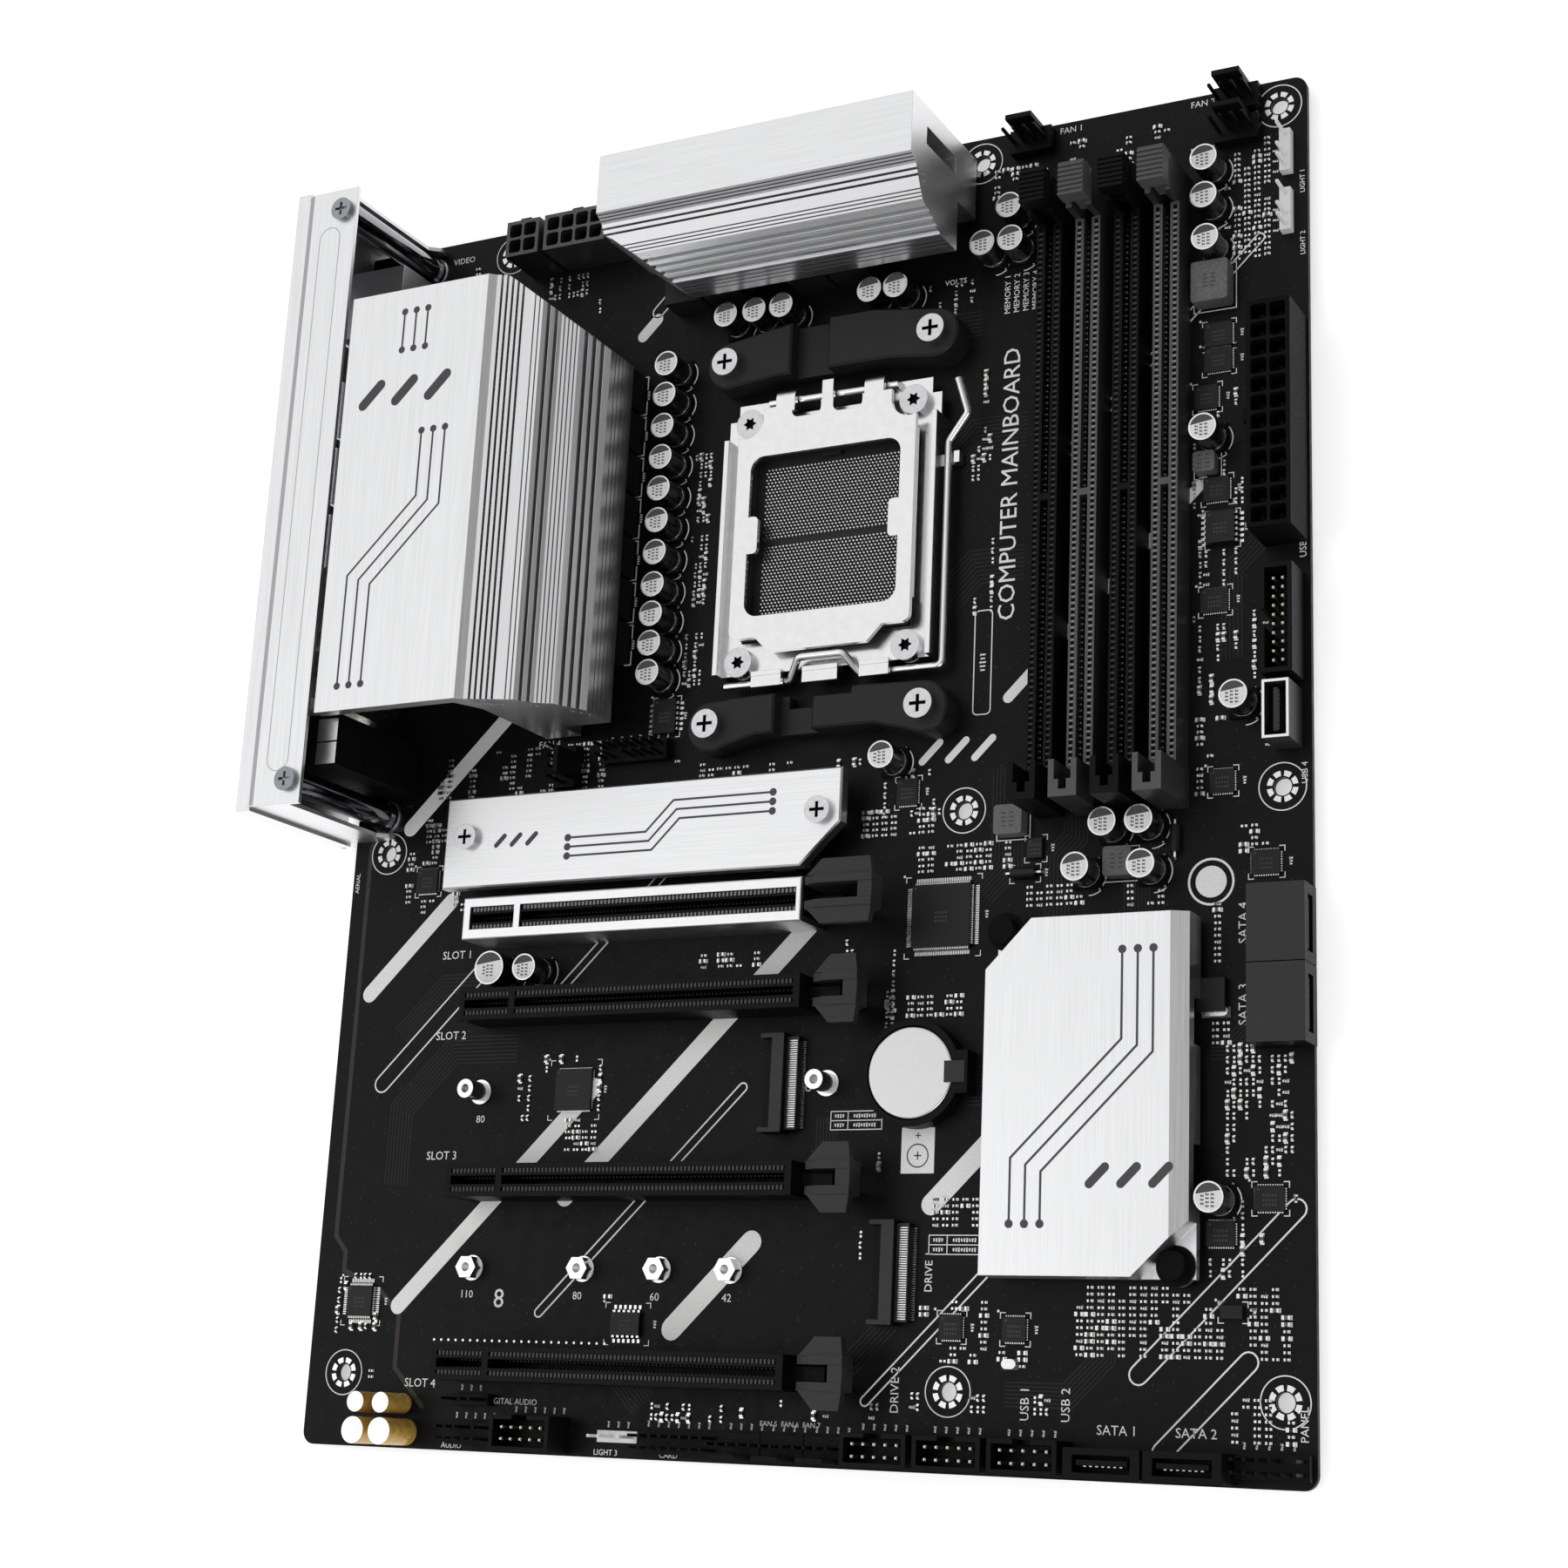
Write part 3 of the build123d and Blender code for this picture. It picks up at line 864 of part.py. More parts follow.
SMA_R = 3.175
SMA_ZS = (11.6, 25.6)
with BuildPart() as antenna_jacks:
    block(-4.4, 9.0, ANTENNA_Y - 6.0, ANTENNA_Y + 6.0, 0, 32.0)
    for z in SMA_ZS:
        with BuildSketch(along(-7.4)) as nut:
            with Locations((ANTENNA_Y, z)):
                RegularPolygon(4.0, 6)
        extrude(nut.sketch, amount=3.0)
        rod_x(-15.4, -7.4, ANTENNA_Y, z, SMA_R)
        rod_x(-15.4, -9.4, ANTENNA_Y, z, 2.2, Mode.SUBTRACT)
        rod_x(-15.4, -9.4, ANTENNA_Y, z, 0.5)
save(antenna_jacks, "antenna_jacks")

BUTTON_TRAVEL = 0.6
with BuildPart() as flash_button_body:
    block(-4.4, 3.0, BUTTON_Y - 3.0, BUTTON_Y + 3.0, 0, 9.4)
    rod_x(-4.4, 0.6, BUTTON_Y, BUTTON_Z, BUTTON_R - 0.2, Mode.SUBTRACT)
save(flash_button_body, "flash_button_body")

with BuildPart() as flash_button:
    rod_x(-6.2 - BUTTON_TRAVEL, -0.4, BUTTON_Y, BUTTON_Z, BUTTON_R - 0.5)
save(flash_button, "flash_button")
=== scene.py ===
"""Looks of a full-size desktop computer mainboard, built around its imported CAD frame."""

import json
import math
import random
from typing import NamedTuple

import bmesh
import bpy
from mathutils import Matrix, Vector
from mathutils.bvhtree import BVHTree


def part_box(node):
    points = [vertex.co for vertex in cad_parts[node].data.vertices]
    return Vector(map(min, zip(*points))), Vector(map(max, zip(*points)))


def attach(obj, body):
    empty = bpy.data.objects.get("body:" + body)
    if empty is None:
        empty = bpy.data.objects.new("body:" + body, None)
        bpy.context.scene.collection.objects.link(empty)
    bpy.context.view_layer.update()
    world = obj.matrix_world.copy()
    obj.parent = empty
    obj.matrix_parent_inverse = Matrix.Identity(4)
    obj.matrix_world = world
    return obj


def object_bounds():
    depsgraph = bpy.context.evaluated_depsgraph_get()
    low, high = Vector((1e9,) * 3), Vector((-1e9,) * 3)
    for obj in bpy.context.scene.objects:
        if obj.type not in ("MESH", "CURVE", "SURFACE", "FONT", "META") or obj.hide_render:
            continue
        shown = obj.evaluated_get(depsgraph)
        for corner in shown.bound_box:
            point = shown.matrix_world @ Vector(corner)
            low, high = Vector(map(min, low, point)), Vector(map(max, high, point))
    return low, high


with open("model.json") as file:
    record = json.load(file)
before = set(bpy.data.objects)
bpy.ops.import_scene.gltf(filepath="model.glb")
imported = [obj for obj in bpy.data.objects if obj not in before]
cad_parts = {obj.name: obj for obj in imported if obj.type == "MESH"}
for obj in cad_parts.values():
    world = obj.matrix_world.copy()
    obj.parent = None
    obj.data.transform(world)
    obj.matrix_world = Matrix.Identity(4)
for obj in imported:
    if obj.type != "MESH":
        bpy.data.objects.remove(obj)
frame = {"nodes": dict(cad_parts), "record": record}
cad_low, cad_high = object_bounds()
NODES = frame["nodes"]
RECORD = frame["record"]

MM = 0.001
BOARD_LOW, BOARD_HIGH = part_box("pcb")
CAPITAL_HEIGHT = 0.69       # of the built-in font, as a share of its size


# -------------------- places and solids
def point(x, y, z=0.0):
    """Place in the row frame, from mm beyond the rear edge, beyond the slot edge and above the face."""
    return Vector((BOARD_LOW.x + x * MM, BOARD_LOW.y + y * MM, BOARD_HIGH.z + z * MM))


def board_place(co):
    """Board coordinates, in mm, of a place in the row frame."""
    return ((co[0] - BOARD_LOW.x) / MM, (co[1] - BOARD_LOW.y) / MM, (co[2] - BOARD_HIGH.z) / MM)


def turned(x, y, u, v, angle):
    """Where (u, v) falls when it is turned by an angle in degrees and then moved by (x, y)."""
    c, s = math.cos(math.radians(angle)), math.sin(math.radians(angle))
    return x + c * u - s * v, y + s * u + c * v


def arc(x, y, radius, start=0.0, end=360.0, steps=24):
    """Points along an arc, counter-clockwise; a full circle leaves out its last point."""
    full = abs(end - start) >= 360.0
    count = steps if full else steps + 1
    return [(x + radius * math.cos(math.radians(start + (end - start) * i / steps)),
             y + radius * math.sin(math.radians(start + (end - start) * i / steps))) for i in range(count)]


def rounded(path, radius, steps=6):
    """The same open path with its corners turned into arcs."""
    result = [path[0]]
    for before, corner, after in zip(path, path[1:], path[2:]):
        a, c, b = Vector(before), Vector(corner), Vector(after)
        to_a, to_b = (a - c), (b - c)
        turn = to_a.angle(to_b)
        reach = min(radius / math.tan(turn / 2), to_a.length * 0.49, to_b.length * 0.49)
        p, q = c + to_a.normalized() * reach, c + to_b.normalized() * reach
        for i in range(steps + 1):
            t = i / steps
            result.append(tuple((1 - t) ** 2 * p + 2 * t * (1 - t) * c + t ** 2 * q))
    result.append(path[-1])
    return result


def sides(path, width, closed=False, caps=True):
    """Left and right edges of a line of one width along a path; caps round its ends off."""
    pts = [Vector(p) for p in path]
    n = len(pts)
    left, right = [], []
    for i, p in enumerate(pts):
        before = pts[(i - 1) % n] if closed or i else None
        after = pts[(i + 1) % n] if closed or i < n - 1 else None
        d1 = (p - before).normalized() if before is not None else (after - p).normalized()
        d2 = (after - p).normalized() if after is not None else d1
        mid = (d1 + d2).normalized()
        side = Vector((-mid.y, mid.x))
        reach = width / 2 / max(0.35, side.dot(Vector((-d1.y, d1.x))))
        left.append(tuple(p + side * reach))
        right.append(tuple(p - side * reach))
    if caps and not closed:
        for end, inward in ((0, pts[1] - pts[0]), (n - 1, pts[-2] - pts[-1])):
            along = inward.normalized()
            side = Vector((-along.y, along.x)) * (1 if end == 0 else -1)
            tip = [(pts[end] - along * math.sin(a) * width / 2, side * math.cos(a) * width / 2)
                   for a in (0.4, 0.8, 1.15, 1.4)]
            if end == 0:
                left = [tuple(p + s) for p, s in tip[::-1]] + left
                right = [tuple(p - s) for p, s in tip[::-1]] + right
            else:
                left += [tuple(p + s) for p, s in tip]
                right += [tuple(p - s) for p, s in tip]
    return left, right


class Solids:
    """Closed solids in board coordinates, gathered into one mesh."""

    def __init__(self):
        self.points, self.faces, self.slots = [], [], []

    def add(self, points, faces, slot=0):
        start = len(self.points)
        self.points += points
        self.faces += [[start + i for i in face] for face in faces]
        self.slots += [slot] * len(faces)

    def prism(self, outline, z0, z1, slot=0):
        """Straight solid over a closed outline of (x, y) points."""
        area = sum(a[0] * b[1] - b[0] * a[1] for a, b in zip(outline, outline[1:] + outline[:1]))
        ring = outline if area > 0 else outline[::-1]
        n = len(ring)
        walls = [[i, (i + 1) % n, n + (i + 1) % n, n + i] for i in range(n)]
        self.add([(x, y, z0) for x, y in ring] + [(x, y, z1) for x, y in ring],
                 [list(range(n))[::-1], list(range(n, 2 * n))] + walls, slot)

    def box(self, x0, x1, y0, y1, z0, z1, slot=0):
        self.prism([(x0, y0), (x1, y0), (x1, y1), (x0, y1)], z0, z1, slot)

    def block(self, x, y, sx, sy, z0, z1, slot=0, turn=0.0):
        """Box about its centre, turned by an angle in degrees."""
        corners = [(-sx / 2, -sy / 2), (sx / 2, -sy / 2), (sx / 2, sy / 2), (-sx / 2, sy / 2)]
        self.prism([turned(x, y, u, v, turn) for u, v in corners], z0, z1, slot)

    def disc(self, x, y, radius, z0, z1, slot=0, steps=24):
        self.prism(arc(x, y, radius, steps=steps), z0, z1, slot)

    def ring(self, x, y, inner, outer, z0, z1, slot=0, start=0.0, end=360.0, steps=32):
        """Flat ring, or part of one."""
        if abs(end - start) < 360.0:
            back = arc(x, y, inner, start, end, steps)[::-1]
            self.prism(arc(x, y, outer, start, end, steps) + back, z0, z1, slot)
            return
        n = steps
        loops = arc(x, y, inner, steps=n), arc(x, y, outer, steps=n)
        points = [(*p, z) for z in (z0, z1) for loop in loops for p in loop]
        faces = []
        for i in range(n):
            j = (i + 1) % n
            faces += [[2 * n + i, 3 * n + i, 3 * n + j, 2 * n + j], [i, j, n + j, n + i],
                      [n + i, n + j, 3 * n + j, 3 * n + i], [j, i, 2 * n + i, 2 * n + j]]
        self.add(points, faces, slot)

    def ribbon(self, path, width, z0, z1, slot=0, closed=False, caps=True):
        """Flat line of one width along a path, with round ends."""
        left, right = sides(path, width, closed, caps)
        n = len(left)
        points = [(*p, z) for z in (z0, z1) for line in (right, left) for p in line]
        faces = [] if closed else [[0, 2 * n, 3 * n, n], [n - 1, 2 * n - 1, 4 * n - 1, 3 * n - 1]]
        for i in range(n if closed else n - 1):
            j = (i + 1) % n
            faces += [[2 * n + i, 2 * n + j, 3 * n + j, 3 * n + i], [i, n + i, n + j, j],
                      [n + j, n + i, 3 * n + i, 3 * n + j], [i, j, 2 * n + j, 2 * n + i]]
        self.add(points, faces, slot)

    def track(self, path, width, thin, z0, z1):
        """Outline, in a thin line, of a wide round-ended one."""
        left, right = sides(path, width)
        self.ribbon(right + left[::-1], thin, z0, z1, closed=True)

    def bent(self, x, y, turn, profile, width, slot=0):
        """Strip of one width with a bent side profile of (outward, up) points, facing an angle in degrees."""
        n = len(profile)
        points = [(*turned(x, y, u, v, turn), z) for v in (-width / 2, width / 2) for u, z in profile]
        walls = [[i, n + i, n + (i + 1) % n, (i + 1) % n] for i in range(n)]
        self.add(points, [list(range(n)), list(range(n, 2 * n))[::-1]] + walls, slot)

    def letters(self, words, x, y, size, turn, z0, z1):
        """Line of text, centred on a place; the size is the height of its capitals."""
        curve = bpy.data.curves.new("letters", "FONT")
        curve.body, curve.size, curve.extrude = words, size / CAPITAL_HEIGHT, (z1 - z0) / 2
        curve.align_x, curve.align_y, curve.resolution_u = "CENTER", "CENTER", 2
        holder = bpy.data.objects.new("letters", curve)
        mesh = bpy.data.meshes.new_from_object(holder)
        shape = bmesh.new()
        shape.from_mesh(mesh)
        bmesh.ops.remove_doubles(shape, verts=shape.verts, dist=1e-4)
        bmesh.ops.recalc_face_normals(shape, faces=shape.faces)
        mid = (z0 + z1) / 2
        self.add([(*turned(x, y, v.co.x, v.co.y, turn), mid + v.co.z) for v in shape.verts],
                 [[v.index for v in face.verts] for face in shape.faces])
        shape.free()
        bpy.data.objects.remove(holder)
        bpy.data.curves.remove(curve)
        bpy.data.meshes.remove(mesh)

    def piece(self, name, finishes, smooth=None):
        """Turn the solids into a piece on the board; edges below the smooth angle are shaded round."""
        mesh = bpy.data.meshes.new(name)
        mesh.from_pydata([point(*p) for p in self.points], [], self.faces)
        for finish in finishes:
            mesh.materials.append(M[finish])
        mesh.polygons.foreach_set("material_index", self.slots)
        shape = bmesh.new()
        shape.from_mesh(mesh)
        bmesh.ops.recalc_face_normals(shape, faces=shape.faces)
        shape.to_mesh(mesh)
        shape.free()
        if smooth:
            mesh.shade_smooth()
            mesh.set_sharp_from_angle(angle=math.radians(smooth))
        obj = bpy.data.objects.new(name, mesh)
        bpy.context.scene.collection.objects.link(obj)
        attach(obj, "mainboard")


# -------------------- materials
RELIEF_DEPTH, EDGE_RADIUS = 0.00005, 0.00015


def surface(name, tone, rough, metal=0.0, specular=0.5, vary=0.12, spread=0.08, grain=600.0,
            stretch=(1, 1, 1), bump=0.1, edge=EDGE_RADIUS):
    """Finish with fine uneven tone, roughness and relief, and slightly rounded edges.

    A stretch draws the grain out into brush marks.
    """
    material = bpy.data.materials.new(name)
    material.use_nodes = True
    nodes, links = material.node_tree.nodes, material.node_tree.links
    shader = nodes["Principled BSDF"]
    shader.inputs["Metallic"].default_value = metal
    shader.inputs["Specular IOR Level"].default_value = specular
    place = nodes.new("ShaderNodeTexCoord")
    scale = nodes.new("ShaderNodeMapping")
    scale.inputs["Scale"].default_value = stretch
    noise = nodes.new("ShaderNodeTexNoise")
    noise.inputs["Scale"].default_value = grain
    noise.inputs["Detail"].default_value = 4.0
    links.new(place.outputs["Object"], scale.inputs["Vector"])
    links.new(scale.outputs["Vector"], noise.inputs["Vector"])
    tint = nodes.new("ShaderNodeValToRGB")
    tint.color_ramp.elements[0].position, tint.color_ramp.elements[1].position = 0.3, 0.7
    tint.color_ramp.elements[0].color = (*[c * (1 - vary) for c in tone], 1)
    tint.color_ramp.elements[1].color = (*[min(1.0, c * (1 + vary)) for c in tone], 1)
    links.new(noise.outputs["Fac"], tint.inputs["Fac"])
    links.new(tint.outputs["Color"], shader.inputs["Base Color"])
    sheen = nodes.new("ShaderNodeMapRange")
    sheen.inputs["From Min"].default_value, sheen.inputs["From Max"].default_value = 0.3, 0.7
    sheen.inputs["To Min"].default_value = max(0.02, rough - spread)
    sheen.inputs["To Max"].default_value = min(1.0, rough + spread)
    links.new(noise.outputs["Fac"], sheen.inputs["Value"])
    links.new(sheen.outputs["Result"], shader.inputs["Roughness"])
    relief = nodes.new("ShaderNodeBump")
    relief.inputs["Strength"].default_value = bump
    relief.inputs["Distance"].default_value = RELIEF_DEPTH
    links.new(noise.outputs["Fac"], relief.inputs["Height"])
    links.new(relief.outputs["Normal"], shader.inputs["Normal"])
    if edge:
        soft = nodes.new("ShaderNodeBevel")
        soft.samples = 4
        soft.inputs["Radius"].default_value = edge
        links.new(soft.outputs["Normal"], relief.inputs["Normal"])
    return material


BRUSH_X, BRUSH_Y = (0.05, 6, 6), (6, 0.05, 6)
ALUMINIUM = {"tone": (0.79, 0.795, 0.80), "rough": 0.34, "metal": 1.0, "grain": 900, "vary": 0.09,
             "bump": 0.15}
SMOOTH_STEEL = {"metal": 1.0, "grain": 500, "vary": 0.03, "spread": 0.03, "bump": 0.02}
METAL = {"metal": 1.0, "grain": 900}
MOULDED = {"grain": 1500, "bump": 0.2}
PRESSED = {"grain": 2500, "vary": 0.3, "bump": 0.5}
THIN = {"grain": 2500, "edge": 0}                       # small or printed, without rounded edges
SMALL = {"vary": 0.2, "bump": 0.2, **THIN}
M = {
    "circuit_board": surface("solder_mask", (0.0042, 0.0044, 0.005), 0.42, specular=0.12, grain=350,
                             bump=0.05),
    "brushed_aluminium": surface("brushed_aluminium_x", stretch=BRUSH_X, **ALUMINIUM),
    "brushed_aluminium_y": surface("brushed_aluminium_y", stretch=BRUSH_Y, **ALUMINIUM),
    "black_plastic_matte": surface("matte_black_plastic", (0.0045, 0.0045, 0.005), 0.55, specular=0.06,
                                   grain=1800, bump=0.3),
    "black_plastic_gloss": surface("black_plastic", (0.004, 0.004, 0.0045), 0.42, specular=0.1, **MOULDED),
    "grey_plastic": surface("grey_plastic", (0.085, 0.086, 0.088), 0.42, specular=0.25, **MOULDED),
    "dark_grey_plastic": surface("dark_grey_plastic", (0.028, 0.028, 0.029), 0.42, specular=0.25, **MOULDED),
    "white_plastic": surface("white_plastic", (0.78, 0.78, 0.77), 0.45, specular=0.3, vary=0.04, **MOULDED),
    "socket_plastic": surface("socket_plastic", (0.014, 0.014, 0.015), 0.5, specular=0.25, **MOULDED),
    "bright_steel": surface("nickel_steel", (0.80, 0.80, 0.805), 0.22, **SMOOTH_STEEL),
    "satin_steel": surface("satin_steel", (0.82, 0.82, 0.83), 0.32, **SMOOTH_STEEL),
    "coin_steel": surface("coin_steel", (0.60, 0.60, 0.605), 0.3, **SMOOTH_STEEL),
    "dark_steel": surface("coated_steel", (0.012, 0.012, 0.013), 0.45, specular=0.3, grain=1200, bump=0.3),
    "dark_screw_steel": surface("screw_steel", (0.62, 0.62, 0.63), 0.22, vary=0.08, **METAL),
    "dark_bright_steel": surface("black_chrome", (0.30, 0.31, 0.33), 0.12, 1.0, grain=400, vary=0.05,
                                 bump=0.03),
    "gold_plate": surface("gold_plate", (0.70, 0.66, 0.56), 0.3, vary=0.06, bump=0.05, **METAL),
    "gold_sleeve": surface("gold_sleeve", (0.55, 0.33, 0.07), 0.3, specular=0.4, grain=700, vary=0.2,
                           bump=0.05),
    "capacitor_can": surface("capacitor_can", (0.80, 0.80, 0.81), 0.25, vary=0.05, bump=0.05, **METAL),
    # Dark copy of the can metal for the sides: painted shade and painted reflection of the dark board around
    # them.
    "painted_shade_can_side": surface("painted_shade_can_side", (0.16, 0.16, 0.165), 0.3, vary=0.1, bump=0.05, **METAL),
    "choke_grey": surface("pressed_iron", (0.13, 0.13, 0.132), 0.55, specular=0.3, **PRESSED),
    "choke_black": surface("pressed_iron_black", (0.009, 0.009, 0.0095), 0.5, specular=0.25, **PRESSED),
    "chip_epoxy": surface("chip_epoxy", (0.008, 0.008, 0.0085), 0.42, specular=0.25, grain=2500, vary=0.2,
                          bump=0.3),
    "thermal_pad": surface("thermal_pad", (0.35, 0.37, 0.42), 0.8, specular=0.2, grain=2500, bump=0.3),
    "ink": surface("white_ink", (0.86, 0.86, 0.85), 0.6, specular=0.2, vary=0.08, **THIN),
    "print_grey": surface("grey_ink", (0.085, 0.085, 0.09), 0.6, specular=0.15, **THIN),
    "painted_groove_shade": surface("painted_groove_shade", (0.42, 0.42, 0.43), 0.5, 1.0, vary=0.1, **THIN),
    "faint_print": surface("laser_mark", (0.06, 0.06, 0.062), 0.6, specular=0.15, vary=0.3, **THIN),
    "enamel": surface("can_enamel", (0.80, 0.80, 0.79), 0.35, specular=0.4, grain=900, vary=0.04, bump=0.05,
                      edge=0),
    "tin": surface("tinned_copper", (0.74, 0.74, 0.73), 0.3, 1.0, vary=0.15, bump=0.4, **THIN),
    "via": surface("masked_via", (0.022, 0.022, 0.023), 0.4, specular=0.3, vary=0.2, **THIN),
    "mask_raised": surface("mask_over_copper", (0.0085, 0.0088, 0.0095), 0.36, specular=0.2, bump=0.05,
                           edge=0),
    "mask_brown": surface("mask_brown", (0.035, 0.027, 0.021), 0.4, specular=0.2, grain=900, vary=0.2,
                          bump=0.05, edge=0),
    "ceramic": surface("ceramic", (0.16, 0.12, 0.085), 0.45, specular=0.3, **SMALL),
    "resistor": surface("resistor", (0.01, 0.01, 0.011), 0.4, specular=0.3, **SMALL),
    # Near black, for painted shade inside recesses and grooves.
    "painted_shade_hollow": surface("painted_shade_hollow", (0.004, 0.004, 0.004), 0.6, specular=0.1, **SMALL),
    "grey_rib": surface("grey_rib", (0.06, 0.06, 0.061), 0.45, specular=0.2, edge=0, **MOULDED),
    "pale_rib": surface("pale_rib", (0.22, 0.22, 0.222), 0.45, specular=0.2, edge=0, **MOULDED),
    "slot_rib": surface("slot_rib", (0.022, 0.022, 0.023), 0.4, specular=0.3, edge=0, **MOULDED),
}
# Nodes that look other than their slot's usual finish.
OTHER_FINISH = {
    "vrm_heatsink_left": "brushed_aluminium_y", "chipset_heatsink": "brushed_aluminium_y",
    "io_shield": "brushed_aluminium_y", "cpu_power_connectors": "grey_plastic",
    "atx_power_connector": "black_plastic_matte", "cooler_bracket_upper": "socket_plastic",
    "cooler_bracket_lower": "socket_plastic", "m2_standoffs": "bright_steel",
    "power_chokes": "choke_black", "coin_cell": "coin_steel", "pcie_latch_1": "dark_grey_plastic",
    "pcie_latch_2": "slot_rib", "pcie_latch_3": "slot_rib", "pcie_latch_4": "slot_rib"}
for entry in RECORD["subparts"]:
    mesh = NODES[entry["node"]].data
    mesh.materials.clear()
    mesh.materials.append(M[OTHER_FINISH.get(entry["node"], entry["material_slot"])])

# -------------------- reading the frame
class Island(NamedTuple):
    """Box around one separate solid of a CAD node, in board mm."""
    x0: float
    x1: float
    y0: float
    y1: float
    z0: float
    z1: float

    @property
    def x(self):
        return (self.x0 + self.x1) / 2

    @property
    def y(self):
        return (self.y0 + self.y1) / 2

    @property
    def wide(self):
        return self.x1 - self.x0

    @property
    def deep(self):
        return self.y1 - self.y0


def islands(node):
    """Boxes around the separate solids of a CAD node, in a fixed order."""
    mesh = NODES[node].data
    keys = [tuple(round(c, 3) for c in board_place(v.co)) for v in mesh.vertices]
    group = {key: key for key in keys}

    def root(key):
        while group[key] != key:
            group[key] = group[group[key]]
            key = group[key]
        return key

    for polygon in mesh.polygons:
        first = root(keys[polygon.vertices[0]])
        for i in polygon.vertices[1:]:
            group[root(keys[i])] = first
    found = {}
    for key in group:
        found.setdefault(root(key), []).append(key)
    return sorted(Island(*(end(c[i] for c in cluster) for i in range(3) for end in (min, max)))
                  for cluster in found.values())


def tree(names):
    """Surface of some CAD nodes, to cast rays at."""
    points, faces = [], []
    for name in names:
        start = len(points)
        points += [v.co.copy() for v in NODES[name].data.vertices]
        faces += [[start + i for i in polygon.vertices] for polygon in NODES[name].data.polygons]
    return BVHTree.FromPolygons(points, faces)


COVER, BARE = tree([name for name in NODES if name != "pcb"]), tree(["pcb"])
DOWN = Vector((0, 0, -1))


def clear(x, y, reach=0.0):
    """Whether the component face lies bare under the sky around a place."""
    for dx, dy in ((0, 0), (reach, reach), (-reach, reach), (reach, -reach), (-reach, -reach)):
        sky = point(x + dx, y + dy, 60)
        ground = BARE.ray_cast(sky, DOWN)[0]
        if COVER.ray_cast(sky, DOWN)[0] or not ground or ground.z < BOARD_HIGH.z - 0.2 * MM:
            return False
    return True


def paint(node, choose, *finishes):
    """Give each face of a CAD node a finish, chosen by its centre in board mm and how far it faces up."""
    mesh = NODES[node].data
    for finish in finishes:
        mesh.materials.append(M[finish])
    for polygon in mesh.polygons:
        polygon.material_index = choose(*board_place(polygon.center), polygon.normal.z)


# Polymer cans: black base, tops in their own finish, sides in the darkened can metal as painted shade.
paint("polymer_capacitors", lambda x, y, z, up: 2 if z < 0.9 else int(up <= 0.5),
      "painted_shade_can_side", "black_plastic_matte")
paint("audio_capacitors", lambda x, y, z, up: int(up > 0.5 and z > 3), "capacitor_can")
# Painted shade: walls of the cells and sides of the processor power sockets are darker than their grey tops.
paint("cpu_power_connectors", lambda x, y, z, up: int(up <= 0.5 or z <= 12), "slot_rib")
paint("sata_connectors", lambda x, y, z, up: int(up > 0.5 and z > 8 and x > 230), "dark_grey_plastic")
paint("m2_connectors", lambda x, y, z, up: int(up > 0.5 and z > 2), "dark_grey_plastic")
paint("usbc_header", lambda x, y, z, up: int(up <= 0.5 or z <= 9), "slot_rib")
for node in ("dimm_slot_2", "dimm_slot_4"):
    paint(node, lambda x, y, z, up: int(up <= 0.5 or z <= 5), "dark_grey_plastic")
for node in ("cooler_screws", "socket_screws", "m2_heatsink_screws"):
    heads = islands(node)

    def hollow(x, y, z, up):
        """Faces of the driver recess, below the top of the head and near its middle, painted near black as
        shade.
        """
        for head in heads:
            if head.x0 <= x <= head.x1 and head.y0 <= y <= head.y1:
                near = math.hypot(x - head.x, y - head.y) < head.wide * 0.3
                return int(near and head.z1 - 1.6 < z < head.z1 - 0.05)
        return 0

    paint(node, hollow, "painted_shade_hollow")

# -------------------- printing on the board
SUNK = -0.02                        # flat things reach this far into the face under them
INK_TOP = 0.03
PIN_PITCH = 2.54
POWER_PITCH = 4.2
HOLES = [(x, y) for y in (16.51, 140.97) for x in (10.16, 165.1, 237.49)]
HOLES += [(x, 298.45) for x in (33.02, 165.1, 237.49)]
CORNERS = ((-1, -1), (-1, 1), (1, -1), (1, 1))
ink = Solids()


def line(path, width=0.25, caps=False, closed=False):
    ink.ribbon(path, width, SUNK, INK_TOP, closed=closed, caps=caps)


def frame_line(x0, x1, y0, y1, width=0.2):
    line([(x0, y0), (x1, y0), (x1, y1), (x0, y1)], width, closed=True)


def marks(x, y, count, turn=0.0, size=0.8, step=0.62):
    """Row of tiny marks too small to read, as beside each part; none beyond the edges of the board."""
    if not (2.2 < x < 241.6 and 1.2 < y < 303.4):
        return
    for i in range(count):
        u = (i - (count - 1) / 2) * step
        tall = size * (0.7 + 0.3 * (i * 7 % 3) / 2)
        ink.block(*turned(x, y, u, 0, turn), 0.34, tall, SUNK, INK_TOP, 0, turn)
        if (i * 5 + count) % 3:
            ink.block(*turned(x, y, u, size * 0.3, turn), 0.56, 0.16, SUNK, INK_TOP, 0, turn)


# Plain slanted stripes, filled and outlined: lower end, reach and width.
for x, y, reach, width in (
        (8, 106, 22, 4), (16, 147, 34, 4), (68, 57, 60, 4.5), (98, 28, 19, 5), (24, 32, 50, 4),
        (160, 55, 20, 4.5), (74, 269, 4, 3), (175, 166, 45, 2.5)):
    line([(x, y), (x + reach, y + reach)], width, caps=True)
for x, y, reach, width in (
        (14, 84, 28, 4), (63, 31, 50, 2), (60, 102, 40, 2), (146, 14, 30, 2), (207, 21, 33, 4),
        (212, 6, 18, 4), (185, 219, 48, 2), (78, 275, 3, 3)):
    ink.track([(x, y), (x + reach, y + reach)], width, 0.35, SUNK, INK_TOP)
for x, y in HOLES:
    ink.ring(x, y, 5.0, 5.25, SUNK, INK_TOP)
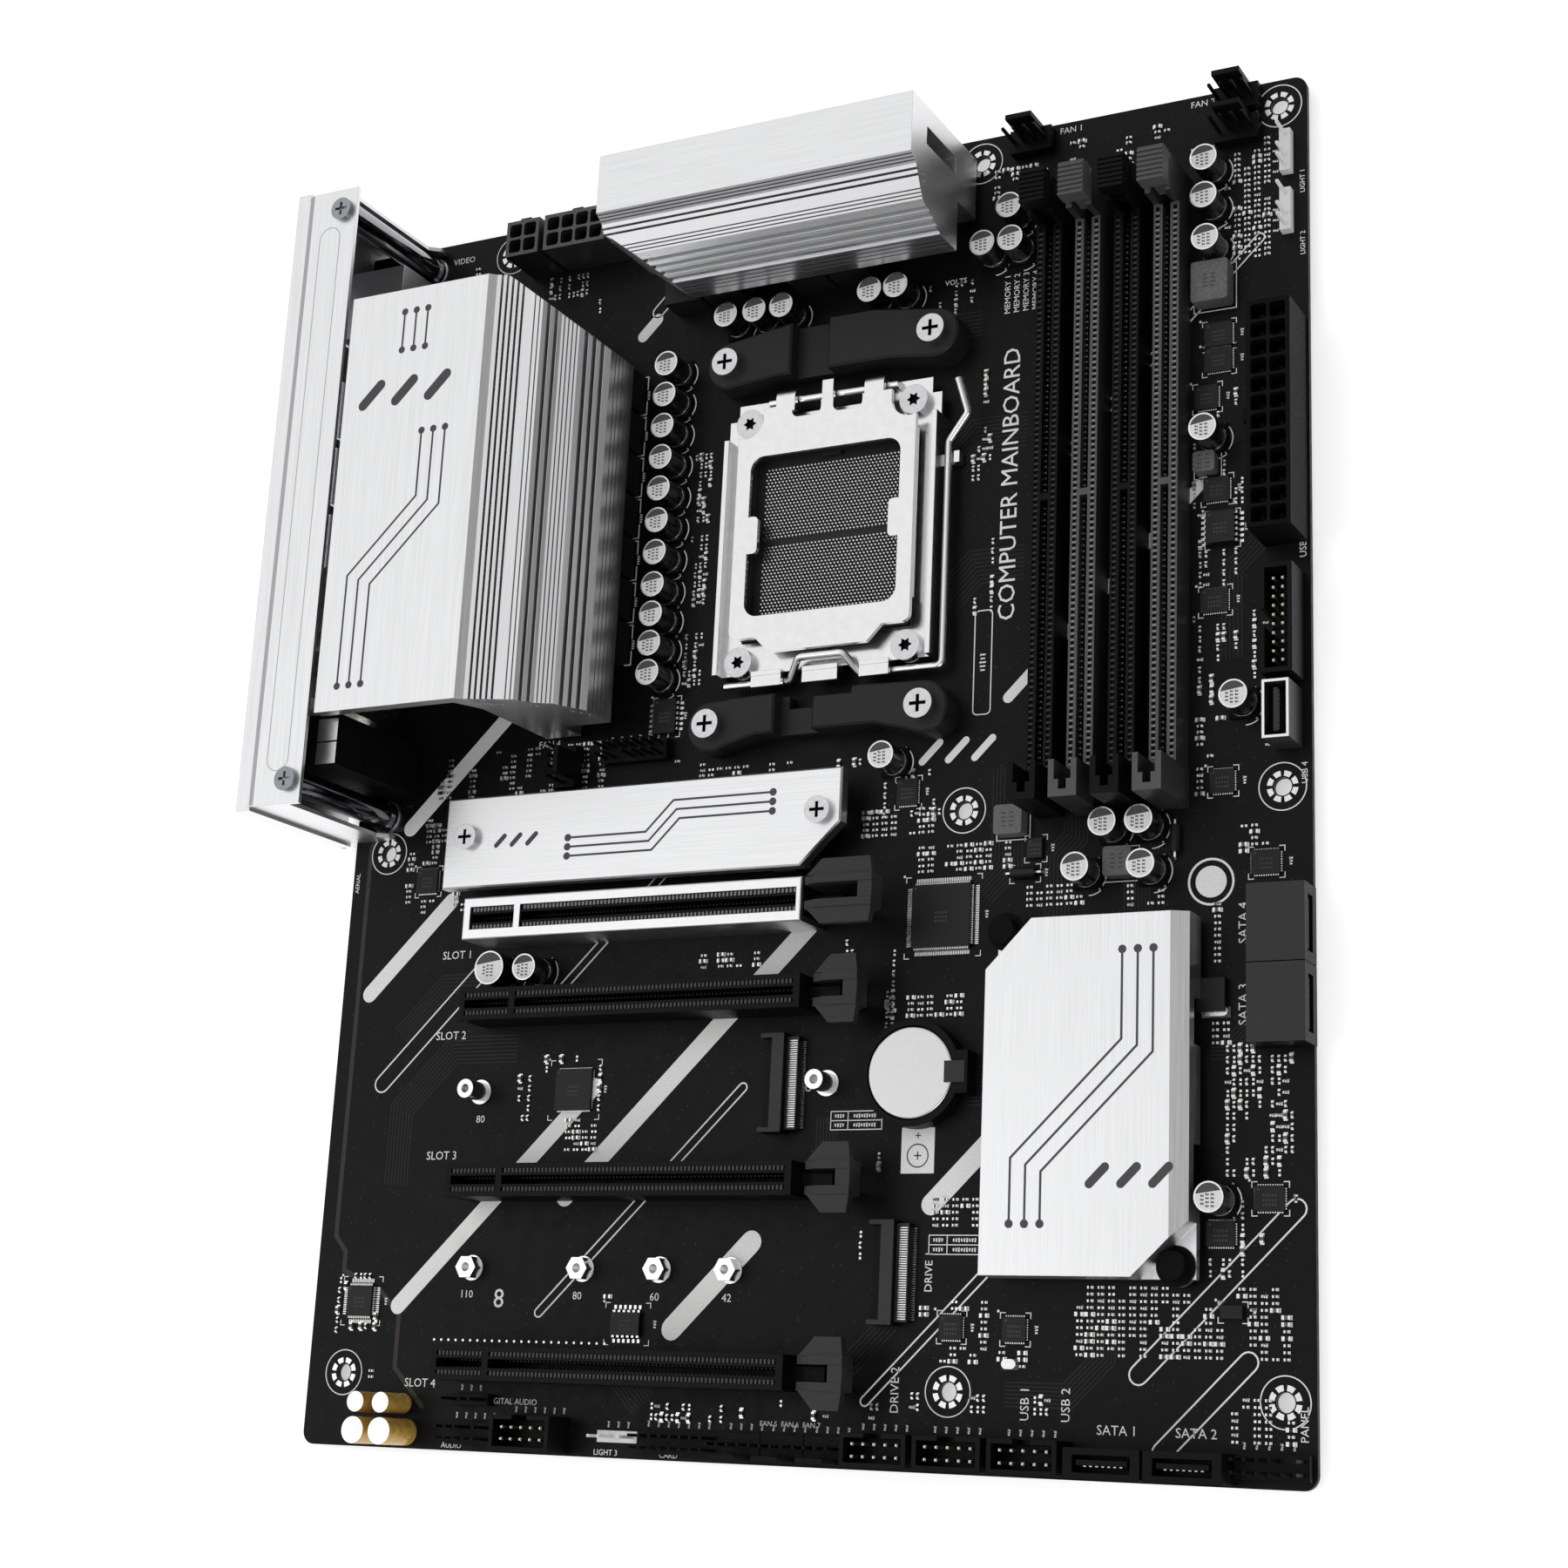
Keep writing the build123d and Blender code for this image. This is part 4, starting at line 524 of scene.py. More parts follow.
for can in islands("polymer_capacitors"):
    grow = can.wide / 2 - 3.2
    ink.ring(can.x, can.y, 4.0 + grow, 4.28 + grow, SUNK, INK_TOP, 0, -55, 58, 16)
    ink.ring(can.x, can.y, 4.5 + grow, 4.75 + grow, SUNK, INK_TOP, 0, -88, -52, 8)
    ink.block(can.x - 4.2 - grow, can.y + 2.6, 1.0, 0.25, SUNK, INK_TOP)
for choke in islands("power_chokes"):
    if choke.x0 < 70:
        inner, outer = choke.x1 - 1.2, choke.x1 + 0.6
        line([(inner, choke.y1 + 0.2), (outer, choke.y1 + 0.2), (outer, choke.y0 + 6.3)], 0.3)
        line([(outer, choke.y0 + 3.3), (outer, choke.y0 - 0.2), (inner, choke.y0 - 0.2)], 0.3)
        marks(choke.x1 + 1.0, choke.y, 4, 90)
for coil in islands("shielded_coils"):
    frame_line(coil.x0 - 0.6, coil.x1 + 0.6, coil.y0 - 0.6, coil.y1 + 0.6, 0.22)
for chip in islands("chips"):
    if clear(chip.x0 - 0.8, chip.y0 - 0.8) and clear(chip.x1 + 0.8, chip.y1 + 0.8):
        grow = 2.1 if 6.6 < chip.wide < 15 else 0.8
        for sx, sy in CORNERS:
            x, y = chip.x + sx * (chip.wide / 2 + grow), chip.y + sy * (chip.deep / 2 + grow)
            line([(x - sx * 1.2, y), (x, y), (x, y - sy * 1.2)], 0.2)
        ink.disc(chip.x0 - grow - 0.5, chip.y1 + grow + 0.3, 0.3, SUNK, INK_TOP, steps=12)
        marks(chip.x1 + grow + 1.3, chip.y, 3, 90)

# Plain words and numbers: words, place, turn and height.
for words, x, y, turn, size in (
        ("SLOT 1", 33.0, 114.5, 0, 1.9), ("SLOT 2", 33.0, 95.0, 0, 1.9), ("SLOT 3", 33.0, 66.6, 0, 1.9),
        ("SLOT 4", 32.0, 14.6, 0, 1.9), ("AUDIO", 42.0, 1.1, 0, 1.2), ("DIGITAL AUDIO", 57.5, 11.2, 0, 1.3),
        ("LIGHT 3", 83.0, 1.1, 0, 1.2), ("CARD", 99.0, 1.1, 0, 1.2), ("DRIVE 2", 153.0, 16.5, 90, 1.9),
        ("USB 1", 182.5, 14.6, 90, 1.9), ("USB 2", 191.5, 14.6, 90, 1.9), ("SATA 1", 202.5, 9.9, 0, 1.9),
        ("SATA 2", 219.2, 9.9, 0, 1.9), ("SATA 4", 229.0, 112.5, 90, 1.9), ("SATA 3", 229.0, 95.5, 90, 1.9),
        ("PANEL", 241.4, 12.4, 90, 1.6), ("USB 3", 242.3, 193.6, 90, 1.5), ("USB 4", 242.3, 143.6, 90, 1.3),
        ("FAN 1", 187.6, 302.8, 0, 1.5), ("FAN 2", 219.6, 302.8, 0, 1.5), ("FAN 3", 219.6, 291.0, 0, 1.5),
        ("LIGHT 1", 242.7, 279.0, 90, 1.1), ("LIGHT 2", 242.7, 264.0, 90, 1.1),
        ("POWER", 242.9, 240.0, 90, 1.1), ("VOLTS", 159.2, 269.0, 0, 1.3),
        ("MEMORY 1", 172.5, 263.6, 90, 1.4), ("MEMORY 2", 174.8, 263.6, 90, 1.4),
        ("MEMORY 3", 177.1, 263.6, 90, 1.4), ("MEMORY 4", 179.4, 263.6, 90, 1.4),
        ("COMPUTER MAINBOARD", 174.2, 217.0, 90, 4.0), ("AERIAL", 1.4, 134.0, 90, 1.1),
        ("VIDEO", 17.6, 299.6, 0, 1.6), ("FAN 4", 55.0, 165.2, 0, 1.6), ("80", 43.2, 75.0, 0, 1.7),
        ("110", 43.0, 34.8, 0, 1.7), ("80", 73.0, 34.8, 0, 1.7), ("60", 93.2, 34.8, 0, 1.7),
        ("42", 111.5, 34.8, 0, 1.7), ("CELL", 129.5, 82.0, 90, 1.5), ("DRIVE 1", 160.0, 41.0, 90, 1.7),
        ("8", 52.0, 33.8, 0, 4.2), ("FAN 5  FAN 6  FAN 7", 128.5, 8.6, 0, 1.1)):
    ink.letters(words, x, y, size, turn, SUNK, INK_TOP)
for i in range(3):                  # three slanted bars
    line([(154.5 + 6.4 * i, 152.9), (158.7 + 6.4 * i, 157.1)], 1.7, caps=True)
x0, x1, y0, y1 = 166.5, 170.7, 162.7, 187
line(rounded([(x0, 175), (x0, y1), (x1, y1), (x1, y0), (x0, y0), (x0, 175)], 1.2))
marks(168.6, 174.8, 5, 90, 1.6, 0.9)
ink.ring(222.0, 121.6, 4.6, 5.1, SUNK, INK_TOP)
ink.disc(222.0, 121.6, 3.4, SUNK, INK_TOP)
ink.box(152.6, 160.4, 61.6, 71.4, SUNK, INK_TOP)
for x, y in ((141.5, 73.2), (166.0, 46.6)):             # small tables of settings
    frame_line(x - 6.2, x + 6.2, y - 2.0, y + 2.0)
    line([(x - 6.2, y), (x + 6.2, y)], 0.2)
    line([(x - 2.0, y - 2.0), (x - 2.0, y + 2.0)], 0.2)
    for side in (-1, 1):
        marks(x - 4.1, y + side, 4, 0, 0.9)
        marks(x + 2.0, y + side, 9, 0, 0.9)
for node in ("fan_headers", "rgb_headers", "pin_headers", "box_headers", "usbc_header"):
    for header in islands(node):
        if header.z0 < 0.5:
            for i in range(int(max(header.wide, header.deep) / PIN_PITCH)):
                along = 1.3 + PIN_PITCH * i
                if header.wide > header.deep:
                    marks(header.x0 + along, header.y1 + 1.3, 3, 90, 0.6, 0.45)
                else:
                    marks(header.x0 - 1.6, header.y0 + along, 3, 0, 0.6, 0.45)

# -------------------- copper seen through the mask, vias and pads
copper = Solids()
MASK, BROWN = 0, 1
# Bundles of parallel tracks: path of the middle one, their number and spacing.
for path, count, step in (
        ([(176, 150), (176, 128), (170, 122)], 9, 0.9), ([(232, 92), (226, 86), (222, 86)], 6, 0.8),
        ([(192, 137), (192, 133), (188, 129), (188, 116)], 7, 0.9),
        ([(212, 137), (212, 128), (206, 122), (206, 115)], 8, 0.8),
        ([(150, 92), (162, 80), (174, 80)], 10, 0.8), ([(110, 176), (110, 160), (104, 154)], 8, 0.9),
        ([(20, 60), (20, 78), (34, 92), (52, 92)], 8, 0.9), ([(140, 20), (150, 30), (150, 36)], 6, 0.9),
        ([(70, 20), (84, 20), (92, 12)], 8, 0.9), ([(200, 36), (200, 24), (192, 16), (178, 16)], 7, 0.8),
        ([(158, 190), (166, 198), (178, 198)], 9, 1.0), ([(158, 222), (166, 230), (178, 230)], 9, 1.0),
        ([(142, 250), (150, 258), (166, 258)], 7, 1.0), ([(226, 170), (226, 190), (232, 196)], 6, 0.9),
        ([(18, 96), (30, 108), (40, 108)], 6, 0.9), ([(134, 60), (134, 74)], 7, 0.8)):
    for i in range(count):
        lane = sides(path, 2 * step * (i - count / 2), caps=False)[0]
        copper.ribbon(lane, 0.3, SUNK, 0.012, MASK)
copper.ribbon([(20.5, 153), (14.5, 147), (9.4, 147), (4.6, 143), (4.4, 48), (7.6, 44.4), (7.6, 40), (19, 35),
               (24.5, 30), (24.5, 18), (33, 9.5)], 1.2, SUNK, 0.015, BROWN)

tin = Solids()
PAD, VIA = 0, 1
for x, y in HOLES:
    for start in range(8, 368, 45):
        tin.ring(x, y, 2.25, 3.4, SUNK, 0.05, PAD, start, start + 30, 6)
rng = random.Random(11)
for _ in range(2600):
    x, y = rng.uniform(3, 241), rng.uniform(3, 302)
    if clear(x, y, 0.4):
        tin.disc(x, y, 0.16, SUNK, 0.02, VIA, 8)
for x in range(35, 82, 2):
    if clear(x, 24.5, 0.3):
        tin.disc(x, 24.5, 0.3, SUNK, 0.04, PAD, 8)
for x in range(60, 124, 5):
    if clear(x, 115.6, 0.6):
        tin.block(x, 115.6, 1.3, 0.8, SUNK, 0.05)

# -------------------- small surface parts
parts = Solids()
END, TAN, BLACK, GREY = 0, 1, 2, 3
# Length, width, height and finish.
KINDS = ((1.0, 0.5, 0.35, BLACK), (1.0, 0.5, 0.5, TAN), (1.6, 0.8, 0.75, TAN), (1.0, 0.5, 0.35, BLACK),
         (1.6, 0.8, 0.45, BLACK), (1.0, 0.5, 0.5, GREY))


def small_part(x, y, turn, kind):
    """Two-ended surface part: its body, two plated ends and their solder."""
    length, width, height, body = kind
    parts.block(x, y, length * 0.56, width * 0.96, 0.0, height, body, turn)
    for side in (-1, 1):
        end, foot = side * length * 0.37, side * length * 0.5
        parts.block(*turned(x, y, end, 0, turn), length * 0.27, width, SUNK, height + 0.02, END, turn)
        parts.block(*turned(x, y, foot, 0, turn), length * 0.42, width * 1.1, SUNK, 0.12, END, turn)


# Areas with small parts: x0, x1, y0, y1 and the direction of the parts.
FIELDS = (
    (154, 178, 127, 135, 0), (140, 160, 136, 143, 0), (148, 152, 115, 124, 90), (148, 167, 95, 101, 0),
    (155, 158, 103, 106, 0), (137, 141, 100, 115, 90), (220, 226, 104, 118, 0), (215, 228, 87, 96, 0),
    (225, 240, 60, 88, 90), (193, 240, 24, 40, 0), (226, 240, 8, 18, 0), (176, 184, 20, 26, 0),
    (170, 175, 12, 18, 90), (155, 160, 12, 18, 90), (184, 189, 12, 18, 90), (143, 147, 43, 50, 90),
    (160, 172, 50, 57, 0), (116, 150, 9.5, 15, 90), (180, 196, 118, 124, 0), (203, 214, 117, 123, 0),
    (228, 236, 127, 134, 0), (16, 29, 125, 150, 0), (5, 9, 25, 40, 90), (100, 118, 108, 112.6, 0),
    (53, 58, 74, 86, 90), (62, 78, 67, 76, 0), (80, 118, 8, 14, 90), (17, 23, 15, 18, 0),
    (30, 36, 125, 132, 0), (180, 220, 285, 300, 0), (222, 238, 262, 292, 0), (168, 180, 288, 297, 0),
    (152, 165, 258, 283, 90), (12, 25, 293, 298, 0), (45, 58, 283, 291, 90), (56, 68, 268, 285, 90),
    (91, 98, 217, 237, 90), (91, 97, 196, 215, 90), (91, 99, 176, 192, 90), (30, 60, 153, 166, 0),
    (60, 72, 153, 166, 0), (70, 78, 165, 184, 90), (90, 126, 152, 160, 0), (133, 146, 153, 163, 90),
    (163, 172, 186, 206, 90), (163, 170, 218, 246, 90), (216, 230, 186, 236, 90), (216, 232, 140, 158, 0),
    (216, 234, 160, 182, 90), (8, 20, 26, 42, 90), (60, 80, 76, 92, 90), (80, 96, 22, 36, 0),
    (216, 234, 40, 62, 90), (158, 176, 22, 36, 0), (145, 160, 140, 152, 90), (8, 30, 286, 293, 0),
    (140, 150, 62, 70, 90), (14, 30, 152, 165, 0), (212, 220, 140, 150, 0), (146, 152, 88, 112, 90))
DENSE = ((193, 24), (225, 60), (222, 262), (154, 127))
for x0, x1, y0, y1, turn in FIELDS:
    wide, deep = (2.3, 1.35) if turn == 0 else (1.35, 2.3)
    columns, rows = max(1, int((x1 - x0) / wide)), max(1, int((y1 - y0) / deep))
    share = 0.62 if (x1 - x0) * (y1 - y0) < 160 else (0.74 if (x0, y0) in DENSE else 0.32)
    for i in range(columns):
        filled = rng.random() < share
        for j in range(rows):
            if rng.random() < 0.25:
                filled = rng.random() < share
            x, y = x0 + wide * (i + 0.5), y0 + deep * (j + 0.5)
            if not filled or not clear(x, y, 0.95):
                continue
            pick = rng.random()
            if pick < 0.72:
                small_part(x, y, turn, KINDS[int(rng.random() * len(KINDS))])
            elif pick < 0.9:
                for shift in (-0.45, 0.45):
                    dx, dy = (shift, 0) if turn == 0 else (0, shift)
                    tin.block(x + dx, y + dy, 0.5, 0.5, SUNK, 0.05)
            else:
                marks(x, y, 3, 0, 0.7, 0.5)
for x, y, wide, half in ((223.2, 94.0, 6.2, 1.9), (179.2, 22.4, 3.4, 0.6)):     # crystals in metal cans
    parts.block(x, y, wide, 2.2, SUNK, 0.25, GREY)
    parts.ribbon([(x - half, y), (x + half, y)], 2.0, 0.2, 1.5, END)

# -------------------- leads of the chips
leads = Solids()
for chip in islands("chips"):
    sx, sy, top = chip.wide, chip.deep, chip.z1
    beside = clear(chip.x0 - 0.6, chip.y) and clear(chip.x1 + 0.6, chip.y)
    if not beside or sx > 15 or sx < 4 or sy < 3:
        continue
    quad = abs(sx - 14) < 0.5 or abs(sx - 7) < 0.3 and chip.x < 40
    dual = abs(sx - 7.4) < 0.2 or abs(sy - 8.4) < 0.2 or top > 2.0
    reach = 1.6 if quad or dual else 0.28
    step = 0.4 if sx > 10 else (1.27 if dual else 0.5)
    wing = [(-0.1, top * 0.6), (reach * 0.3, top * 0.6), (reach * 0.5, 0.14), (reach, 0.14), (reach, SUNK),
            (reach * 0.4, SUNK), (reach * 0.2, top * 0.5), (-0.1, top * 0.5)]
    flat = [(-0.05, SUNK), (reach, SUNK), (reach, 0.16), (-0.05, 0.2)]
    for turn, length, half in ((0, sy, sx / 2), (90, sx, sy / 2), (180, sy, sx / 2), (270, sx, sy / 2)):
        if dual and (turn in (0, 180)) == (sx > sy):
            continue
        count = int((length - 0.8) / step) + 1
        for i in range(count):
            place = turned(chip.x, chip.y, half, (i - (count - 1) / 2) * step, turn)
            leads.bent(*place, turn, wing if quad or dual else flat, step * 0.5)

# -------------------- contacts and pins
contacts = Solids()
SPRING, BAR, FOOT, PALE_RIB, PAINTED_SHADE_STRIP, GREY_RIB = 0, 1, 3, 4, 5, 6
SLOT_FIRST, SLOT_POSITIONS, SLOT_KEY = 44.65, 86, 57.0      # expansion slots, 1 mm apart along x
MEMORY_KEY, KEY_HALF = 209.2, 1.4
for i in range(1, 5):
    slot = islands(f"pcie_slot_{i}")[0]
    rib = PALE_RIB if i == 1 else GREY_RIB
    for x in [SLOT_FIRST + k for k in range(SLOT_POSITIONS)]:
        if abs(x - SLOT_KEY) > 1.3:
            for side in (-1, 1):
                contacts.block(x, slot.y + side * 0.84, 0.5, 0.34, 3.0, 6.6, BAR)
                contacts.block(x, slot.y + side * 2.1, 0.5, 0.96, 10.6, 11.2, rib)
for i in range(1, 5):
    slot = islands(f"dimm_slot_{i}")[0]
    rib = BAR if i in (1, 3) else PALE_RIB
    # Near-black strip along the floor of each contact groove: painted shade between the ribs.
    for side in (-1, 1):
        middle = slot.x + side * 2.05
        contacts.box(middle - 0.44, middle + 0.44, 146.9, 274.6, 7.48, 7.53, PAINTED_SHADE_STRIP)
    for k in range(91):
        y = 147.2 + 1.4 * k
        for side in (-1, 1):
            contacts.block(slot.x + side * 2.05, y, 0.92, 0.5, 7.45, 7.99, rib)
            if abs(y - MEMORY_KEY) > KEY_HALF:
                contacts.block(slot.x + side * 0.78, y, 0.26, 0.42, 2.2, 5.4, SPRING)
# Drive sockets: springs in the mouth and feet behind.
for socket in islands("m2_connectors"):
    for i in range(int((socket.deep - 2.2) / 0.5)):
        y = socket.y0 + 1.3 + 0.5 * i
        contacts.block(socket.x0 + 3.0, y, 1.8, 0.22, 1.75, 2.0, BAR)
        contacts.block(socket.x1 + 0.35, y, 0.8, 0.24, SUNK, 0.2, FOOT)
        contacts.block(socket.x1 - 1.2, y, 1.9, 0.22, 2.38, 2.5, FOOT)
# Processor socket: a field of leaning contacts in two halves.
FIELD = tree(["socket_body"])
CONTACT_FLOOR = 3.0
LEANING = [(0, 2.9), (0.16, 2.9), (0.62, 3.62), (0.5, 3.7), (0.04, 3.1)]
for row in range(46):
    y = 189.9 + 0.81 * row
    if 207.3 < y < 208.7:
        continue
    for column in range(38):
        x = 113.2 + 0.94 * column + (0.47 if row % 2 else 0.0)
        hit = FIELD.ray_cast(point(x, y, 6.5), DOWN)[0]
        if hit and abs(board_place(hit)[2] - CONTACT_FLOOR) < 0.2 and x < 148:
            contacts.bent(x - 0.18, y - 0.22, 55, LEANING, 0.56, FOOT)
            contacts.block(x + 0.14, y + 0.22, 0.3, 0.4, 3.62, 3.72, FOOT, 55)
# Storage connectors: bars on the tongues.
for socket in islands("sata_connectors"):
    for i in range(7):
        step = (i - 3) * 1.27
        if socket.wide > socket.deep:
            contacts.block(socket.x + step, 2.9, 0.6, 0.3, 3.0, 7.4, SPRING)
        else:
            contacts.block(240.0, socket.y + step, 6.4, 0.6, 4.95, 5.12, SPRING)
# Square pins inside the shrouds.
for header in islands("box_headers"):
    upright = header.deep > header.wide
    count, step = (10, 2.0) if upright else (5, PIN_PITCH)
    for i in range(count):
        for side in (-1, 1):
            u, v = (i - (count - 1) / 2) * step, side * step / 2
            x, y = (header.x + v, header.y + u) if upright else (header.x + u, header.y + v)
            contacts.block(x, y, 0.6, 0.6, 1.9, 7.6, SPRING)
            contacts.block(x, y, 0.4, 0.4, 7.6, 7.9, SPRING)
for side in (-1, 1):
    for i in range(20):
        contacts.block(238.7 + side * 0.55, 151.1 + 0.44 * i, 0.14, 0.24, 1.2, 8.2, SPRING)
# Springs that grip the plugs, seen in the square cells, and the clip of the coin cell.
for node in ("atx_power_connector", "cpu_power_connectors"):
    for socket in islands(node):
        columns = round((socket.wide - 1.2) / POWER_PITCH)
        rows = round((socket.deep - 1.2) / POWER_PITCH)
        wall = 0.6 if socket.x0 < 200 else 1.6
        for i in range(columns):
            for j in range(rows):
                x, y = socket.x0 + wall + POWER_PITCH * (i + 0.5), socket.y0 + 0.6 + POWER_PITCH * (j + 0.5)
                contacts.block(x, y, 0.7, 0.7, 5.0, 7.0, BAR)
contacts.bent(168.0, 82.6, 180, [(-1.0, 4.55), (-1.0, 4.8), (3.6, 5.15), (3.7, 4.95), (1.2, 4.6)], 4.6, BAR)

# -------------------- tops of the cans, and other marks on parts
tops = Solids()
ENAMEL, SHADE, METAL_TOP, FAINT = 0, 1, 2, 3
SHADE_SIDE = math.degrees(math.asin(0.34))      # where the chord of the shaded part meets the rim
for can in islands("polymer_capacitors"):
    r, top = can.wide / 2 - 0.45, can.z1
    tops.prism(arc(can.x, can.y, r, 188 - SHADE_SIDE, 368 + SHADE_SIDE, 28), top - 0.02, top + 0.02, ENAMEL)
    tops.prism(arc(can.x, can.y, r, SHADE_SIDE + 8, 188 - SHADE_SIDE, 14), top - 0.02, top + 0.02, SHADE)
    for k, count in ((-1.3, 3), (-0.25, 4), (0.85, 4)):
        for i in range(count):
            x, y = can.x + k, can.y + 0.5 - i * 0.78 - (0.3 if count == 3 else 0.0)
            tops.block(x, y, 0.7, 0.42, top, top + 0.03, SHADE)
            tops.block(x + 0.1, y + 0.12, 0.34, 0.12, top, top + 0.035, ENAMEL)
for can in islands("audio_capacitors"):
    tops.disc(can.x, can.y, can.wide / 2 * 0.78, can.z1 - 0.02, can.z1 + 0.03, METAL_TOP)
for coil in islands("shielded_coils"):
    for k in (-0.9, 0.9):
        for i in range(4):
            tops.block(coil.x + k, coil.y + 1.4 - i * 0.95, 1.1, 0.42, coil.z1, coil.z1 + 0.03, SHADE)
for choke in islands("power_chokes"):
    tops.ring(choke.x, choke.y, 1.5, 1.8, choke.z1, choke.z1 + 0.03, SHADE)
for chip in islands("chips"):
    if clear(chip.x0 - 0.5, chip.y0 - 0.5) and min(chip.wide, chip.deep) > 3:
        tops.disc(chip.x0 + 0.8, chip.y1 - 0.8, 0.3, chip.z1, chip.z1 + 0.02, FAINT, 12)
        for k in (-0.6, 0.4, 1.3):
            if chip.deep > 4:
                for i in range(5):
                    x, y = chip.x - 1.2 + i * 0.62, chip.y - k
                    tops.block(x, y, 0.34, 0.5, chip.z1, chip.z1 + 0.015, FAINT)
# Coin and plus signs on the white label.
LABEL_X, COIN_Y, SIGN_Y = 156.5, 65.4, 69.7
LABEL_LOW, LABEL_TOP = INK_TOP - 0.005, INK_TOP + 0.01
tops.ring(LABEL_X, COIN_Y, 2.3, 2.6, LABEL_LOW, LABEL_TOP, SHADE)
for turn in (0, 90):
    tops.block(LABEL_X, COIN_Y, 1.8, 0.3, LABEL_LOW, LABEL_TOP, SHADE, turn)
    tops.block(LABEL_X, SIGN_Y, 1.3, 0.25, LABEL_LOW, LABEL_TOP, SHADE, turn)

# -------------------- plain traces and fine lines on the metal
art = Solids()
DARK, GROOVE_SHADE = 0, 1
CHIPSET_TOP, COVER_TOP, DRIVE_TOP = 11.0, 40.0, 9.2


def traces(path, z, pitch, count=3):
    """Parallel lines along a path, each with a dot at either end."""
    for i in range(count):
        run = sides(path, (2 * i - count + 1) * pitch, caps=False)[0]
        art.ribbon(run, 0.5, z - 0.02, z + 0.03, DARK)
        for end in (run[0], run[-1]):
            art.disc(*end, 0.9, z - 0.02, z + 0.035, DARK)


def pills(x, y, z, size):
    """Three slanted pills in a row."""
    for left in (x, x + 2 * size, x + 4 * size):
        art.ribbon([(left, y), (left + size, y + size)], 0.54 * size, z - 0.02, z + 0.04, DARK)


traces([(24, 172), (24, 198), (42, 216), (42, 234)], COVER_TOP, 3.4)
traces([(34, 256), (34, 266)], COVER_TOP, 3.4)
pills(20.5, 242.9, COVER_TOP, 4.8)
traces([(68, 137), (90, 137), (97, 144), (122, 144)], DRIVE_TOP, 2.2)
pills(48, 138.6, DRIVE_TOP, 2.2)
traces([(186, 50), (186, 62), (210, 86), (210, 106)], CHIPSET_TOP, 3.4)
pills(200, 58, CHIPSET_TOP, 3.4)


def shaded_score_lines(start, end, count, extent, turn, width=0.3):
    """Fine lines pressed into a sloping face, drawn dark as painted shade, given by two points of the
    cross-section.
    """
    a, b = Vector(start), Vector(end)
    half = (b - a).normalized() * width / 2
    out = Vector((-half.y, half.x)).normalized()
    for i in range(count):
        c = a + (b - a) * ((i + 0.5) / count)
        low, high = extent(c.x)
        outline = [c + half - out * 0.05, c + half + out * 0.03, c - half + out * 0.03, c - half - out * 0.05]
        place = (0, (low + high) / 2) if turn == 0 else ((low + high) / 2, 0)
        art.bent(*place, turn, [tuple(q) for q in outline], high - low - 0.1, DARK)


def along_top(y):
    """Left and right ends of the top heatsink at a distance y."""
    return (82.4 if y > 280 else 84.4 + max(0.0, 278.6 - y) * 1.325), 164.6


def along_left(x):
    """Lower and upper ends of the left heatsink at a distance x."""
    return 166.0, 272.0 - max(0.0, x - 59.0) * 0.811


shaded_score_lines((283.4, 37.7), (282.0, 35.5), 3, along_top, 90)
shaded_score_lines((277.2, 32.57), (275.0, 31.31), 3, along_top, 90)
shaded_score_lines((270.6, 21.5), (270.6, 14.5), 4, along_top, 90)
shaded_score_lines((64.6, 35.39), (66.8, 34.66), 2, along_left, 0)
shaded_score_lines((70.2, 30.5), (73.8, 28.7), 4, along_left, 0)
shaded_score_lines((78.4, 19.5), (78.4, 13.0), 4, along_left, 0)
# Folded outer edge of the rear channel, and the groove pressed into it, drawn as grey strips of painted
# shade.
CHANNEL_LOW, CHANNEL_TOP = 40.19, 40.215
art.box(-1.85, -0.7, 144.6, 302.7, CHANNEL_LOW, CHANNEL_TOP, GROOVE_SHADE)
art.ribbon(arc(5.35, 289.9, 3.05, 0, 180, 12) + arc(5.35, 155.6, 3.05, 180, 360, 12), 0.22,
           CHANNEL_LOW, CHANNEL_TOP, GROOVE_SHADE, closed=True)

# -------------------- collars and washers
fittings = Solids()
STEEL, RUBBER = 0, 1
for y in (150.2, 297.2):            # threaded feet of the rear posts
    fittings.ring(8.8, y, 2.6, 4.2, SUNK, 0.8, STEEL)
    fittings.ring(8.8, y, 2.6, 3.4, 0.8, 2.6, STEEL, steps=6)
for pin in islands("chipset_pushpins"):
    fittings.ring(pin.x, pin.y, 2.6, 4.15, 4.35, 4.9, RUBBER)
WIRE = [(-0.3, 0.8), (-0.3, 1.25), (1.5, 1.25), (2.0, 0.7), (2.0, SUNK), (1.55, SUNK), (1.55, 0.6),
        (1.3, 0.8)]
for x, y, turn in ((180.0, 125.8, 0), (214.4, 131.2, 90)):      # the two lying coils
    for way in (turn, turn + 180):
        fittings.bent(*turned(x, y, 2.6, 0, way), way, WIRE, 0.45, STEEL)
for y0, y1 in ((155.0, 160.2), (160.6, 166.0)):     # plated strip over the audio jacks
    fittings.box(12.0, 17.7, y0, y1, 34.38, 34.46, STEEL)

# -------------------- soldered ends and parts under the board
joints = Solids()
UNDER_FACE = -1.58                  # a little inside the board
COVERED_BELOW = tree(["cpu_backplate", "heatsink_screws", "chipset_pushpins", "io_shield"])
JOINT_SIDES = 10


def bare_below(x, y):
    """Whether nothing covers the underside at a place."""
    return not COVERED_BELOW.ray_cast(point(x, y, -30), -DOWN)[0]


